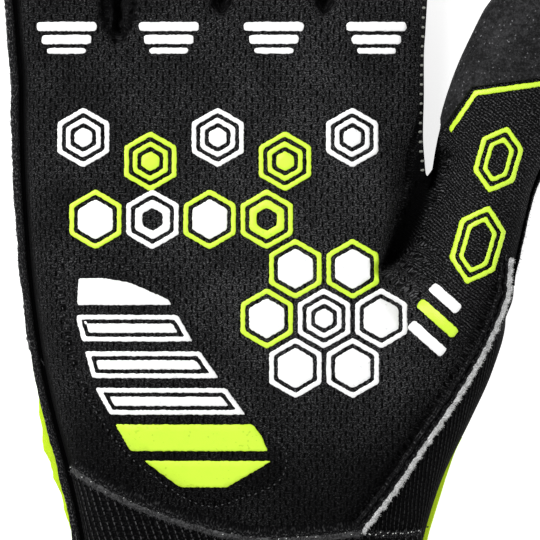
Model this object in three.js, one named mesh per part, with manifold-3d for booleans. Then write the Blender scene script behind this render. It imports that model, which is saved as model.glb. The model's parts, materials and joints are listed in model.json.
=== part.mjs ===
// A right-hand karting glove of knitted fabric, sewn with its seam edges outside, lying palm up.
// Millimetres. +X points to the thumb side, +Y to the fingertips and +Z up out of the palm.
// The origin is on the table, under the middle of the palm, where the back of the hand lies flat.
import * as THREE from "three";
import { mergeVertices } from "three/addons/utils/BufferGeometryUtils.js";
import Module from "manifold-3d";

const wasm = await Module();
wasm.setup();

// Sizes of the hand
const palmWidth = 101.5; // across the knuckles, inside the seam edges
const cuffReach = 104; // from the origin back to the open cuff
const crotchReach = 66; // from the origin on to the finger crotches
const palmThickness = 26; // crown of the palm above the table
const fingerWidth = 25.6;
const fingerLength = 84; // the middle finger, from its crotch to its tip
const fingerThickness = 17;
const thumbWidth = 28;
const thumbThickness = 20;
const thumbLength = 88; // from its root under the palm to its tip

// Sizes of the fabric and the seams
const wall = 1.8; // knit, foam and lining together
const gap = 0.3; // between pieces that are sewn or bonded together
const seamHeight = 10.5; // the side seam above the table
const thumbSeamHeight = 17; // the thumb's side seam above the table
const edgeReach = 3; // how far a sewn edge stands out of its seam
const edgeThickness = 1.3; // one layer of a sewn edge
const weltHeight = 2.4; // the upright edge beside the wrist gusset
const stripBelowSeam = 5.5; // the finger side strips reach from this far below the seam
const stripAboveSeam = 2.5; // to this far above it
const hemLength = 9;
const hemThickness = 2.8;
const patchThickness = 0.6;
const gripThickness = 0.5;

// How finely curved pieces are faceted
const palmSides = 28;
const fingerSides = 12;
const thumbSides = 14;

const halfPalm = palmWidth / 2;
const tall = 4 * palmThickness; // above everything

// Sections of the palm from the cuff to the crotches. along is a share of cuffReach behind the origin and
// of crotchReach ahead of it, little and thumb are half widths as shares of halfPalm, top is a share of palmThickness.
const palmRows = [
  { along: -1.0, little: 0.63, thumb: 0.92, top: 0.84 },
  { along: -0.8, little: 0.65, thumb: 0.94, top: 0.82 },
  { along: -0.64, little: 0.685, thumb: 1.0, top: 0.87 },
  { along: -0.49, little: 0.75, thumb: 1.1, top: 0.95 },
  { along: -0.36, little: 0.82, thumb: 1.23, top: 1.02 },
  { along: -0.24, little: 0.875, thumb: 1.34, top: 1.04 },
  { along: -0.1, little: 0.92, thumb: 1.4, top: 1.02 },
  { along: 0.06, little: 0.95, thumb: 1.25, top: 0.98 },
  { along: 0.22, little: 0.965, thumb: 1.06, top: 0.94 },
  { along: 0.44, little: 0.98, thumb: 1.0, top: 0.87 },
  { along: 0.68, little: 0.985, thumb: 1.0, top: 0.79 },
  { along: 0.88, little: 0.985, thumb: 1.0, top: 0.68 },
];
const palmEndRound = 0.12; // share of crotchReach that rounds off between the fingers

// Fingers. base is a share of halfPalm, length of fingerLength, width of fingerWidth, lean in degrees to the little side.
const fingers = [
  { name: "little", base: -0.752, length: 0.7, width: 0.95, lean: 4 },
  { name: "ring", base: -0.256, length: 0.93, width: 1.0, lean: 1.6 },
  { name: "middle", base: 0.254, length: 1.0, width: 1.0, lean: -0.6 },
  { name: "index", base: 0.752, length: 0.88, width: 0.98, lean: -2.6 },
];
const fingerRoot = 0.27; // how far a finger starts behind the crotches, as a share of crotchReach

// Sections of a finger, as shares of its length, width and thickness. lift raises the underside, as a share of thickness.
const fingerRows = [
  { along: 0.0, width: 0.97, thickness: 0.98, lift: 0 },
  { along: 0.3, width: 1.0, thickness: 0.99, lift: 0 },
  { along: 0.58, width: 0.97, thickness: 0.94, lift: 0 },
  { along: 0.8, width: 0.93, thickness: 0.9, lift: 0.04 },
];
const domeAngles = [0, 32, 60, 82]; // rounding of a fingertip, in degrees

// Sections of the thumb. along is a share of thumbLength, aside of thumbWidth to the right of the first section,
// width of thumbWidth, rise and thickness of thumbThickness.
const thumbRows = [
  { along: -0.14, aside: -0.2, width: 0.84, rise: 0.62, thickness: 1.0 },
  { along: 0.02, aside: 0.06, width: 1.02, rise: 0.7, thickness: 1.18 },
  { along: 0.2, aside: 0.32, width: 1.02, rise: 0.78, thickness: 1.16 },
  { along: 0.36, aside: 0.46, width: 0.98, rise: 0.84, thickness: 1.06 },
  { along: 0.54, aside: 0.58, width: 1.02, rise: 0.86, thickness: 1.0 },
  { along: 0.7, aside: 0.74, width: 1.02, rise: 0.86, thickness: 0.96 },
  { along: 0.83, aside: 0.9, width: 0.97, rise: 0.85, thickness: 0.9 },
];
const thumbRootX = 1.02; // share of halfPalm
const thumbRootY = -0.16; // share of cuffReach

// Hollows and pads of the palm. x is a share of halfPalm, y of crotchReach, radii likewise, depth of palmThickness.
const palmRelief = [
  { x: -0.1, y: 0.2, rx: 0.42, ry: 0.55, depth: -0.07 },
  { x: -0.5, y: -0.45, rx: 0.3, ry: 0.6, depth: 0.05 },
  { x: 0.95, y: 0.1, rx: 0.13, ry: 0.3, depth: -0.2 },
  { x: 1.02, y: 0.32, rx: 0.14, ry: 0.24, depth: -0.24 },
];

// Places along the glove and across it, from the shares in the tables.
const yAt = (share) => share * (share < 0 ? cuffReach : crotchReach);
const power = (value, exponent) =>
  Math.sign(value) * Math.pow(Math.abs(value), exponent);

function relief(x, y) {
  return palmRelief.reduce((sum, dent) => {
    const across = (x / halfPalm - dent.x) / dent.rx;
    const along = (y / crotchReach - dent.y) / dent.ry;
    return (
      sum +
      dent.depth * palmThickness * Math.exp(-(across * across + along * along))
    );
  }, 0);
}

// A closed cross-section, as pairs [across, up]. The underside is flattened where it meets its floor.
function section({ half, top, seam, floor, sides, round }) {
  const overshoot = 1.2; // how far the round underside would dip below the floor
  const points = [];
  for (let i = 0; i < sides; i++) {
    const angle = (i / sides) * 2 * Math.PI;
    const across = half * power(Math.cos(angle), 2 / round);
    const up = power(Math.sin(angle), 2 / round);
    const z =
      up >= 0
        ? seam + up * (top - seam)
        : Math.max(floor, seam + up * (seam - floor + overshoot));
    points.push([across, z]);
  }
  return points;
}

// Geometry to solid and back.
function solidOf(geometry) {
  const bare = new THREE.BufferGeometry().setAttribute(
    "position",
    (geometry.index ? geometry.toNonIndexed() : geometry).getAttribute(
      "position",
    ),
  );
  const merged = mergeVertices(bare, 1e-4);
  return new wasm.Manifold(
    new wasm.Mesh({
      numProp: 3,
      vertProperties: merged.attributes.position.array,
      triVerts: new Uint32Array(merged.index.array),
    }),
  );
}

function geometryOf(solid) {
  const mesh = solid.getMesh();
  const positions = new Float32Array(mesh.numVert * 3);
  for (let i = 0; i < mesh.numVert; i++)
    positions.set(
      mesh.vertProperties.subarray(i * mesh.numProp, i * mesh.numProp + 3),
      i * 3,
    );
  return new THREE.BufferGeometry()
    .setAttribute("position", new THREE.BufferAttribute(positions, 3))
    .setIndex(new THREE.BufferAttribute(mesh.triVerts, 1));
}

const union = (solids) => solids.reduce((sum, solid) => sum.add(solid));

// A closed skin through rings of points, each ring with the same number of points.
function loft(rings) {
  const sides = rings[0].length;
  const positions = rings.flat().flatMap((p) => [p.x, p.y, p.z]);
  const faces = [];
  for (let r = 0; r + 1 < rings.length; r++)
    for (let i = 0; i < sides; i++) {
      const a = r * sides + i;
      const b = r * sides + ((i + 1) % sides);
      faces.push(a, b, a + sides, b, b + sides, a + sides);
    }
  for (const [ring, start, turned] of [
    [rings[0], 0, false],
    [rings[rings.length - 1], (rings.length - 1) * sides, true],
  ]) {
    const centre = ring
      .reduce((sum, p) => sum.add(p), new THREE.Vector3())
      .divideScalar(sides);
    const middle = positions.length / 3;
    positions.push(centre.x, centre.y, centre.z);
    for (let i = 0; i < sides; i++) {
      const a = start + i;
      const b = start + ((i + 1) % sides);
      faces.push(middle, ...(turned ? [a, b] : [b, a]));
    }
  }
  const geometry = new THREE.BufferGeometry();
  geometry.setAttribute(
    "position",
    new THREE.Float32BufferAttribute(positions, 3),
  );
  geometry.setIndex(faces);
  const solid = solidOf(geometry);
  if (solid.volume() > 0) return solid;
  geometry.setIndex(faces.slice().reverse());
  return solidOf(geometry);
}

// The palm and wrist, grown by a distance. A negative growth gives the hollow, which runs on out of the cuff.
function palmBody(grow) {
  const ringAt = (y, row, squeeze) => {
    const left = -row.little * halfPalm - grow;
    const right = row.thumb * halfPalm + grow;
    return section({
      half: (right - left) / 2,
      top: seamHeight + (row.top * palmThickness + grow - seamHeight) * squeeze,
      seam: seamHeight,
      floor: seamHeight - (seamHeight + Math.min(grow, 0)) * squeeze,
      sides: palmSides,
      round: 2.7,
    }).map(([across, z]) => {
      const x = (left + right) / 2 + across;
      const share = Math.max(0, (z - seamHeight) / (palmThickness - seamHeight));
      return new THREE.Vector3(x, y, z + relief(x, y) * Math.min(1, 1.4 * share));
    });
  };
  const rings = palmRows.map((row) => ringAt(yAt(row.along), row, 1));
  if (grow < 0)
    rings.unshift(ringAt(-cuffReach - 2 * hemLength, palmRows[0], 1));
  const last = palmRows[palmRows.length - 1];
  const endRadius = palmEndRound * crotchReach;
  for (const angle of [35, 60, 82]) {
    const turn = THREE.MathUtils.degToRad(angle);
    const y = crotchReach - endRadius + (endRadius + grow) * Math.sin(turn);
    rings.push(ringAt(y, last, Math.cos(turn)));
  }
  return loft(rings);
}

// Where a finger's centre line starts and which way it runs, with its real sizes.
function fingerFrame(finger) {
  const lean = THREE.MathUtils.degToRad(finger.lean);
  return {
    root: new THREE.Vector2(
      finger.base * halfPalm,
      crotchReach * (1 - fingerRoot),
    ),
    forward: new THREE.Vector2(-Math.sin(lean), Math.cos(lean)),
    length: finger.length * fingerLength + crotchReach * fingerRoot,
    half: (finger.width * fingerWidth) / 2,
  };
}

function fingerBody(finger, grow) {
  const { root, forward, length, half } = fingerFrame(finger);
  const ringAt = (along, widthHalf, top, floor) =>
    section({
      half: widthHalf,
      top,
      seam: seamHeight,
      floor,
      sides: fingerSides,
      round: 2.4,
    }).map(
      ([across, z]) =>
        new THREE.Vector3(
          root.x + forward.x * along + forward.y * across,
          root.y + forward.y * along - forward.x * across,
          z,
        ),
    );
  const rings = fingerRows.map((row) =>
    ringAt(
      row.along * length,
      row.width * half + grow,
      row.thickness * fingerThickness + grow,
      row.lift * fingerThickness - Math.min(grow, 0),
    ),
  );
  const last = fingerRows[fingerRows.length - 1];
  const domeStart = last.along * length;
  const domeLength = length - domeStart + grow;
  for (const angle of domeAngles.slice(1)) {
    const turn = THREE.MathUtils.degToRad(angle);
    const squeeze = Math.cos(turn);
    const top = last.thickness * fingerThickness + grow;
    const floor = last.lift * fingerThickness - Math.min(grow, 0);
    const fullness = Math.sqrt(squeeze);
    rings.push(
      ringAt(
        domeStart + domeLength * Math.sin(turn),
        (last.width * half + grow) * Math.pow(squeeze, 0.8),
        seamHeight + (top - seamHeight) * fullness,
        seamHeight - (seamHeight - floor) * fullness,
      ),
    );
  }
  return loft(rings);
}

// The thumb's centre line, with one point for each row.
const thumbRoot = new THREE.Vector2(
  thumbRootX * halfPalm,
  thumbRootY * cuffReach,
);
const thumbCentres = thumbRows.map(
  (row) =>
    new THREE.Vector2(
      thumbRoot.x + row.aside * thumbWidth,
      thumbRoot.y + row.along * thumbLength,
    ),
);
const thumbLast = thumbCentres[thumbCentres.length - 1];
const thumbForward = thumbLast
  .clone()
  .sub(thumbCentres[thumbCentres.length - 2])
  .normalize();
const thumbTipReach = (1 - thumbRows[thumbRows.length - 1].along) * thumbLength;

function thumbBody(grow) {
  const ringAt = (centre, forward, half, low, middle, high) =>
    section({
      half,
      top: high,
      seam: middle,
      floor: low,
      sides: thumbSides,
      round: 2.3,
    }).map(
      ([across, z]) =>
        new THREE.Vector3(
          centre.x + forward.y * across,
          centre.y - forward.x * across,
          z,
        ),
    );
  const rings = thumbRows.map((row, i) => {
    const before = thumbCentres[Math.max(0, i - 1)];
    const after = thumbCentres[Math.min(thumbRows.length - 1, i + 1)];
    const middle = row.rise * thumbThickness;
    const reach = (row.thickness * thumbThickness) / 2;
    return ringAt(
      thumbCentres[i],
      after.clone().sub(before).normalize(),
      (row.width * thumbWidth) / 2 + grow,
      Math.max(-Math.min(grow, 0), middle - reach - grow),
      middle,
      middle + reach + grow,
    );
  });
  const last = thumbRows[thumbRows.length - 1];
  for (const angle of domeAngles.slice(1)) {
    const turn = THREE.MathUtils.degToRad(angle);
    const squeeze = Math.cos(turn);
    const middle = last.rise * thumbThickness;
    const reach =
      ((last.thickness * thumbThickness) / 2 + grow) * Math.sqrt(squeeze);
    rings.push(
      ringAt(
        thumbLast
          .clone()
          .addScaledVector(
            thumbForward,
            (thumbTipReach + grow) * Math.sin(turn),
          ),
        thumbForward,
        ((last.width * thumbWidth) / 2 + grow) * Math.pow(squeeze, 0.8),
        middle - reach,
        middle,
        middle + reach,
      ),
    );
  }
  return loft(rings);
}

const gloveCache = new Map();
function glove(grow) {
  if (!gloveCache.has(grow))
    gloveCache.set(
      grow,
      union([
        palmBody(grow),
        ...fingers.map((finger) => fingerBody(finger, grow)),
        thumbBody(grow),
      ]),
    );
  return gloveCache.get(grow);
}

// Regions that the shell is cut into. A prism stands on a flat outline, given as pairs [x, y].
function prism(outline, low = -tall, high = tall) {
  const shape = new THREE.Shape(outline.map(([x, y]) => new THREE.Vector2(x, y)));
  const geometry = new THREE.ExtrudeGeometry(shape, {
    depth: high - low,
    bevelEnabled: false,
  });
  geometry.translate(0, 0, low);
  const solid = solidOf(geometry);
  return solid.volume() > 0 ? solid : solidOf(geometry.scale(1, 1, -1));
}

// Points on a smooth curve through the given ones.
const curveThrough = (points, steps) =>
  new THREE.SplineCurve(points.map(([x, y]) => new THREE.Vector2(x, y)))
    .getPoints(steps)
    .map((p) => [p.x, p.y]);

// An outline of a given width along a path, for edges that stand up out of the surface.
function ribbon(path, from, to) {
  const side = (offset) =>
    path.map(([x, y], i) => {
      const [ax, ay] = path[Math.max(0, i - 1)];
      const [bx, by] = path[Math.min(path.length - 1, i + 1)];
      const length = Math.hypot(bx - ax, by - ay);
      return [
        x + ((by - ay) / length) * offset,
        y - ((bx - ax) / length) * offset,
      ];
    });
  return [...side(from), ...side(to).reverse()];
}

// The height of the side seam, which climbs from the hand's to the thumb's.
const thumbSideX = thumbRoot.x - 0.06 * thumbWidth;
const seamRamp = [
  { x: -3 * halfPalm, climb: 0 },
  { x: thumbSideX, climb: 0 },
  { x: thumbSideX + 0.3 * thumbWidth, climb: 1 },
  { x: 3 * halfPalm, climb: 1 },
];
const seamRampAlong = [
  { y: -1.3 * cuffReach, climb: 0 },
  { y: -0.42 * cuffReach, climb: 0 },
  { y: -0.1 * cuffReach, climb: 1 },
  { y: 3 * crotchReach, climb: 1 },
];

// Everything between two heights over the seam. Either end may be far away.
function layer(low, high) {
  const columns = seamRamp.length;
  const surface = (offset) =>
    seamRampAlong.flatMap((row) =>
      seamRamp.map(
        (column) =>
          new THREE.Vector3(
            column.x,
            row.y,
            seamHeight +
              (thumbSeamHeight - seamHeight) * column.climb * row.climb +
              offset,
          ),
      ),
    );
  const points = [...surface(low), ...surface(high)];
  const lower = [];
  for (let r = 0; r + 1 < seamRampAlong.length; r++)
    for (let c = 0; c + 1 < columns; c++) {
      const a = r * columns + c;
      lower.push([a, a + columns, a + 1], [a + 1, a + columns, a + columns + 1]);
    }
  const count = columns * seamRampAlong.length;
  const upper = lower.map(([a, b, c]) => [a + count, c + count, b + count]);
  const rim = [];
  const edge = [];
  for (let c = 0; c < columns; c++) edge.push(c);
  for (let r = 1; r < seamRampAlong.length; r++)
    edge.push(r * columns + columns - 1);
  for (let c = columns - 2; c >= 0; c--)
    edge.push((seamRampAlong.length - 1) * columns + c);
  for (let r = seamRampAlong.length - 2; r > 0; r--) edge.push(r * columns);
  edge.forEach((a, i) => {
    const b = edge[(i + 1) % edge.length];
    rim.push([a, b, b + count], [a, b + count, a + count]);
  });
  const geometry = new THREE.BufferGeometry();
  geometry.setAttribute(
    "position",
    new THREE.Float32BufferAttribute(
      points.flatMap((p) => [p.x, p.y, p.z]),
      3,
    ),
  );
  geometry.setIndex([...lower, ...upper, ...rim].flat());
  return solidOf(geometry);
}

const aboveSeam = layer(gap / 2, tall);
const belowSeam = layer(-tall, -gap / 2);

const outer = glove(0);
const hollow = glove(-wall);
const shell = outer.subtract(hollow);

// Where the finger side strips run: between the centre lines of two fingers, or outside the index finger.
const stripEnd = 0.62 * fingerWidth; // how far short of the fingertip a strip stops
const pointOn = (finger, y) => {
  const { root, forward } = fingerFrame(finger);
  return [root.x + (forward.x / forward.y) * (y - root.y), y];
};
const tipY = (finger) => {
  const { root, forward, length } = fingerFrame(finger);
  return root.y + forward.y * length;
};
function stripOutline(left, right, bottom, spare) {
  const beside = 0.7 * fingerWidth;
  const leftEdge = (y) => pointOn(left, y);
  const rightEdge = (y) => {
    const [x] = pointOn(right ?? left, y);
    return [right ? x : x + beside, y];
  };
  const leftTop = tipY(left) - stripEnd + spare;
  const rightTop = (right ? tipY(right) : tipY(left)) - stripEnd + spare;
  const low = bottom - spare;
  return [leftEdge(low), rightEdge(low), rightEdge(rightTop), leftEdge(leftTop)];
}
const crotchDepth = 0.14 * crotchReach; // how far a strip reaches back over the crotch
const indexStripStart = 0.34 * crotchReach;
const finger = Object.fromEntries(fingers.map((f) => [f.name, f]));
const strips = [
  { name: "fourchette_little_ring", left: finger.little, right: finger.ring },
  { name: "fourchette_ring_middle", left: finger.ring, right: finger.middle },
  { name: "fourchette_middle_index", left: finger.middle, right: finger.index },
  { name: "index_side_strip", left: finger.index, right: null },
];
const stripZone = (strip, spare) =>
  prism(
    stripOutline(
      strip.left,
      strip.right,
      strip.right ? crotchReach - crotchDepth : indexStripStart,
      spare,
    ),
    seamHeight - stripBelowSeam - spare,
    seamHeight + stripAboveSeam + spare,
  );

// The palm's lower seam, from the little side to the thumb side, and the gusset seam that climbs from its end.
// Pairs are shares of halfPalm across and of cuffReach or crotchReach along.
const atShares = (pairs) => pairs.map(([x, y]) => [x * halfPalm, yAt(y)]);
const palmSeam = curveThrough(
  atShares([
    [-1.1, -0.4],
    [-0.81, -0.455],
    [-0.55, -0.53],
    [-0.2, -0.6],
    [0.16, -0.64],
    [0.45, -0.637],
    [0.69, -0.625],
  ]),
  18,
);
const gussetSeam = curveThrough(
  atShares([
    [0.69, -0.625],
    [0.84, -0.53],
    [1.02, -0.4],
    [1.2, -0.27],
    [1.34, -0.14],
    [1.44, -0.01],
    [1.5, 0.1],
  ]),
  16,
);
const farRight = 3 * halfPalm;
const hemStart = -cuffReach + hemLength;
const shifted = (path, dx, dy) => path.map(([x, y]) => [x + dx, y + dy]);

const cuffZone = (spare) =>
  prism([
    ...shifted(palmSeam, 0, spare),
    [farRight, palmSeam[palmSeam.length - 1][1] + spare],
    [farRight, -2 * cuffReach],
    [-farRight, -2 * cuffReach],
    [-farRight, palmSeam[0][1] + spare],
  ]);
const gussetZone = (spare) => {
  const path = shifted(gussetSeam, -spare, 0);
  const [, lowY] = path[0];
  const [topX, topY] = path[path.length - 1];
  return prism([
    ...path,
    [topX, topY + spare],
    [farRight, topY + spare],
    [farRight, lowY],
  ]);
};
const hemZone = (spare) =>
  prism([
    [-farRight, -cuffReach],
    [farRight, -cuffReach],
    [farRight, hemStart + spare],
    [-farRight, hemStart + spare],
  ]);
const beyondCuff = prism([
  [-farRight, -3 * cuffReach],
  [farRight, -3 * cuffReach],
  [farRight, hemStart + gap],
  [-farRight, hemStart + gap],
]);

// The thumb's own zone, right of a line from the crease to the palm's side.
const thumbZoneLine = atShares([
  [1.02, 3],
  [1.02, 0.36],
  [0.98, 0.12],
  [1.05, -0.08],
  [1.16, -0.24],
  [1.3, -0.34],
]);
const thumbZone = (spare) =>
  prism([
    ...shifted(thumbZoneLine, -spare, 0),
    [farRight, thumbZoneLine[thumbZoneLine.length - 1][1] - spare],
    [farRight, thumbZoneLine[0][1]],
  ]);

// The yellow wrist part of the back, below a slanting seam.
const backSeam = atShares([
  [-3, -0.22],
  [-0.9, -0.24],
  [0, -0.32],
  [0.8, -0.4],
  [3, -0.42],
]);
const backWristZone = (spare) =>
  prism([
    ...shifted(backSeam, 0, spare),
    [farRight, -2 * cuffReach],
    [-farRight, -2 * cuffReach],
  ]);

// Sewn edges: flat layers standing out at the side seam, kept off the finger strips, the thumb's inner side and the hem.
const innerThumbSide = prism([
  ...atShares([
    [0.9, 3],
    [0.9, -0.02],
  ]),
  [thumbRoot.x + 0.1 * thumbWidth, thumbRoot.y + 0.3 * thumbLength],
  [
    thumbLast.x - 0.2 * thumbWidth,
    thumbLast.y + thumbTipReach - 0.1 * thumbWidth,
  ],
  [thumbLast.x - 0.2 * thumbWidth, 3 * crotchReach],
]);
const cuffRightSide = prism([
  [0, -2 * cuffReach],
  [farRight, -2 * cuffReach],
  [farRight, gussetSeam[gussetSeam.length - 1][1]],
  [0, gussetSeam[gussetSeam.length - 1][1]],
]);
const stripZones = union(strips.map((strip) => stripZone(strip, gap)));
const noEdge = union([
  stripZones,
  union(
    strips.map((strip) =>
      prism(
        stripOutline(
          strip.left,
          strip.right,
          strip.right ? crotchReach - crotchDepth : indexStripStart,
          gap,
        ),
      ),
    ),
  ),
  innerThumbSide,
  cuffRightSide,
  beyondCuff,
]);
const sewnEdge = (low, high) =>
  glove(edgeReach)
    .intersect(layer(low, high))
    .subtract(hollow)
    .subtract(noEdge);
const upperEdge = sewnEdge(gap / 2, edgeThickness);
const lowerEdge = sewnEdge(-edgeThickness, -gap / 2);

// The upright edge along the gusset seam: one layer on the palm's side and one on the gusset's.
const weltLayer = (from, to) =>
  glove(weltHeight)
    .subtract(hollow)
    .intersect(prism(ribbon(gussetSeam.slice(0, -2), from, to)))
    .intersect(aboveSeam);

// The panels
const notCuff = cuffZone(gap);
const panels = {};
panels.palm_panel = shell
  .intersect(aboveSeam)
  .add(upperEdge)
  .subtract(stripZones)
  .subtract(notCuff)
  .subtract(gussetZone(gap))
  .add(weltLayer(-edgeThickness - gap, -gap))
  .subtract(notCuff);
panels.wrist_gusset = shell
  .intersect(aboveSeam)
  .intersect(gussetZone(0))
  .subtract(notCuff)
  .add(weltLayer(0, edgeThickness).subtract(notCuff));
panels.cuff_front = shell
  .intersect(aboveSeam)
  .add(upperEdge)
  .intersect(cuffZone(0))
  .subtract(beyondCuff);
const backHalf = shell.intersect(belowSeam).add(lowerEdge);
panels.back_wrist_panel = backHalf
  .intersect(backWristZone(0))
  .subtract(beyondCuff);
panels.thumb_back_panel = backHalf
  .intersect(thumbZone(0))
  .subtract(backWristZone(gap))
  .subtract(stripZones);
panels.back_panel = backHalf
  .subtract(backWristZone(gap))
  .subtract(thumbZone(gap))
  .subtract(stripZones);
for (const strip of strips)
  panels[strip.name] = shell
    .intersect(stripZone(strip, 0))
    .subtract(thumbZone(gap));
panels.cuff_hem = glove(hemThickness - wall)
  .subtract(hollow)
  .intersect(hemZone(0));

// Grips of silicone and the thumb's suede patch, bonded on to the palm side clear of the sewn edges.
const overlay = (thickness) =>
  glove(gap + thickness)
    .subtract(glove(gap))
    .intersect(layer(edgeThickness + gap, tall));
const gripSkin = overlay(gripThickness);
const hexagon = (x, y, flats, stretch, turn) => {
  const angle = THREE.MathUtils.degToRad(turn);
  return [30, 90, 150, 210, 270, 330].map((corner) => {
    const at = THREE.MathUtils.degToRad(corner);
    const across = (flats / Math.sqrt(3)) * Math.cos(at);
    const along = (flats / Math.sqrt(3)) * Math.sin(at) * stretch;
    return [
      x + across * Math.cos(angle) - along * Math.sin(angle),
      y + across * Math.sin(angle) + along * Math.cos(angle),
    ];
  });
};

const tileFlats = 13; // across the flats of a hexagonal tile
const tilePitch = 14.2;
const thenarCentre = [0.5 * halfPalm, -0.115 * cuffReach];
const tiles = [{ name: "thenar_grip_0", x: thenarCentre[0], y: thenarCentre[1] }];
for (let i = 0; i < 6; i++) {
  const angle = (i * Math.PI) / 3;
  tiles.push({
    name: `thenar_grip_${i + 1}`,
    x: thenarCentre[0] + tilePitch * Math.cos(angle),
    y: thenarCentre[1] + tilePitch * Math.sin(angle),
  });
}
const knuckleTiles = 5;
for (let i = 0; i < knuckleTiles; i++)
  tiles.push({
    name: `knuckle_grip_${i + 1}`,
    x: (-0.68 + 0.33 * i) * halfPalm,
    y: (0.5 - 0.09 * (i % 2)) * crotchReach,
  });
for (const tile of tiles)
  panels[tile.name] = gripSkin.intersect(
    prism(hexagon(tile.x, tile.y, tileFlats, 1, 0)),
  );

// One pad of bars at the root of each finger
const rootGripLength = 0.12 * crotchReach;
for (const f of fingers) {
  const [x, y] = pointOn(f, 0.88 * crotchReach);
  const half = 0.3 * fingerWidth;
  panels[`finger_grip_${f.name}`] = gripSkin.intersect(
    prism([
      [x - half, y - rootGripLength / 2],
      [x + half, y - rootGripLength / 2],
      [x + half, y + rootGripLength / 2],
      [x - half, y + rootGripLength / 2],
    ]),
  );
}

// Bars across the padded heel, cut to its outline
const heelOutline = atShares([
  [-0.7, -0.01],
  [-0.45, -0.03],
  [-0.26, -0.07],
  [-0.14, -0.17],
  [0.02, -0.28],
  [0.2, -0.4],
  [0.25, -0.46],
  [-0.02, -0.53],
  [-0.2, -0.52],
  [-0.45, -0.43],
  [-0.62, -0.28],
  [-0.71, -0.12],
]);
const heelBars = 6;
const heelBarHeight = 6.6;
const heelBarPitch = 0.087 * cuffReach;
const heelPrism = prism(heelOutline);
for (let i = 0; i < heelBars; i++) {
  const top = yAt(-0.02) - i * heelBarPitch;
  panels[`heel_grip_${i + 1}`] = gripSkin.intersect(heelPrism).intersect(
    prism([
      [-halfPalm, top - heelBarHeight],
      [halfPalm, top - heelBarHeight],
      [halfPalm, top],
      [-halfPalm, top],
    ]),
  );
}

// Two long tiles on the thumb, and the line and patch beyond them
const thumbTurn = -16; // degrees
const thumbAt = (along, aside) => [
  thumbRoot.x + aside * thumbWidth,
  thumbRoot.y + along * thumbLength,
];
panels.thumb_grip_1 = gripSkin.intersect(
  prism(hexagon(...thumbAt(0.26, 0.42), 0.42 * thumbWidth, 1.5, thumbTurn)),
);
panels.thumb_grip_2 = gripSkin.intersect(
  prism(hexagon(...thumbAt(0.5, 0.6), 0.38 * thumbWidth, 1.4, thumbTurn)),
);
const patchStart = 0.72; // share of thumbLength
const patchReach = 3 * halfPalm;
const bandOnThumb = (from, to) =>
  prism([
    [thumbAt(from, 0)[0] - 0.4 * thumbWidth, thumbAt(from - 0.03, 0)[1]],
    [patchReach, thumbAt(from + 0.06, 0)[1]],
    [patchReach, thumbAt(to + 0.06, 0)[1]],
    [thumbAt(to, 0)[0] - 0.4 * thumbWidth, thumbAt(to - 0.03, 0)[1]],
  ]);
const onThumb = (thickness) =>
  thumbBody(gap + thickness)
    .subtract(glove(gap))
    .intersect(layer(edgeThickness + gap, tall));
panels.thumb_grip_line = onThumb(gripThickness).intersect(
  bandOnThumb(patchStart - 0.035, patchStart - 0.02),
);
panels.thumb_tip_patch = onThumb(patchThickness).intersect(
  bandOnThumb(patchStart, 2),
);

// Cuts along a seam can leave crumbs, so a panel is the largest of its bodies.
const mainBody = (solid) =>
  solid
    .decompose()
    .reduce((best, body) => (body.volume() > best.volume() ? body : best));
for (const name of Object.keys(panels)) panels[name] = mainBody(panels[name]);

const finishes = {
  knit: { color: 0x17171a, roughness: 0.85 },
  ribbedKnit: { color: 0x1b1b1e, roughness: 0.85 },
  yellowFabric: { color: 0xc8f01e, roughness: 0.7 },
  suede: { color: 0x222224, roughness: 0.65 },
  whiteSilicone: { color: 0xe4e5e2, roughness: 0.45 },
  yellowSilicone: { color: 0xd2f22e, roughness: 0.45 },
};
const finishOf = {
  wrist_gusset: "ribbedKnit",
  cuff_front: "ribbedKnit",
  cuff_hem: "ribbedKnit",
  back_wrist_panel: "yellowFabric",
  thumb_tip_patch: "suede",
  thumb_grip_1: "yellowSilicone",
  thumb_grip_2: "yellowSilicone",
  thumb_grip_line: "yellowSilicone",
  heel_grip_5: "yellowSilicone",
  heel_grip_6: "yellowSilicone",
  knuckle_grip_2: "yellowSilicone",
  knuckle_grip_4: "yellowSilicone",
};
const finishFor = (name) =>
  finishOf[name] ?? (name.includes("_grip_") ? "whiteSilicone" : "knit");

const gloveGroup = new THREE.Group();
for (const [name, solid] of Object.entries(panels)) {
  const material = new THREE.MeshStandardMaterial({
    metalness: 0,
    ...finishes[finishFor(name)],
  });
  const mesh = new THREE.Mesh(geometryOf(solid), material);
  mesh.name = name;
  gloveGroup.add(mesh);
}

export default gloveGroup;
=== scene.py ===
import bpy, bmesh, json, math, random
import numpy as np
from contextlib import contextmanager
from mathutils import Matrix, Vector, geometry
from mathutils.bvhtree import BVHTree

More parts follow.
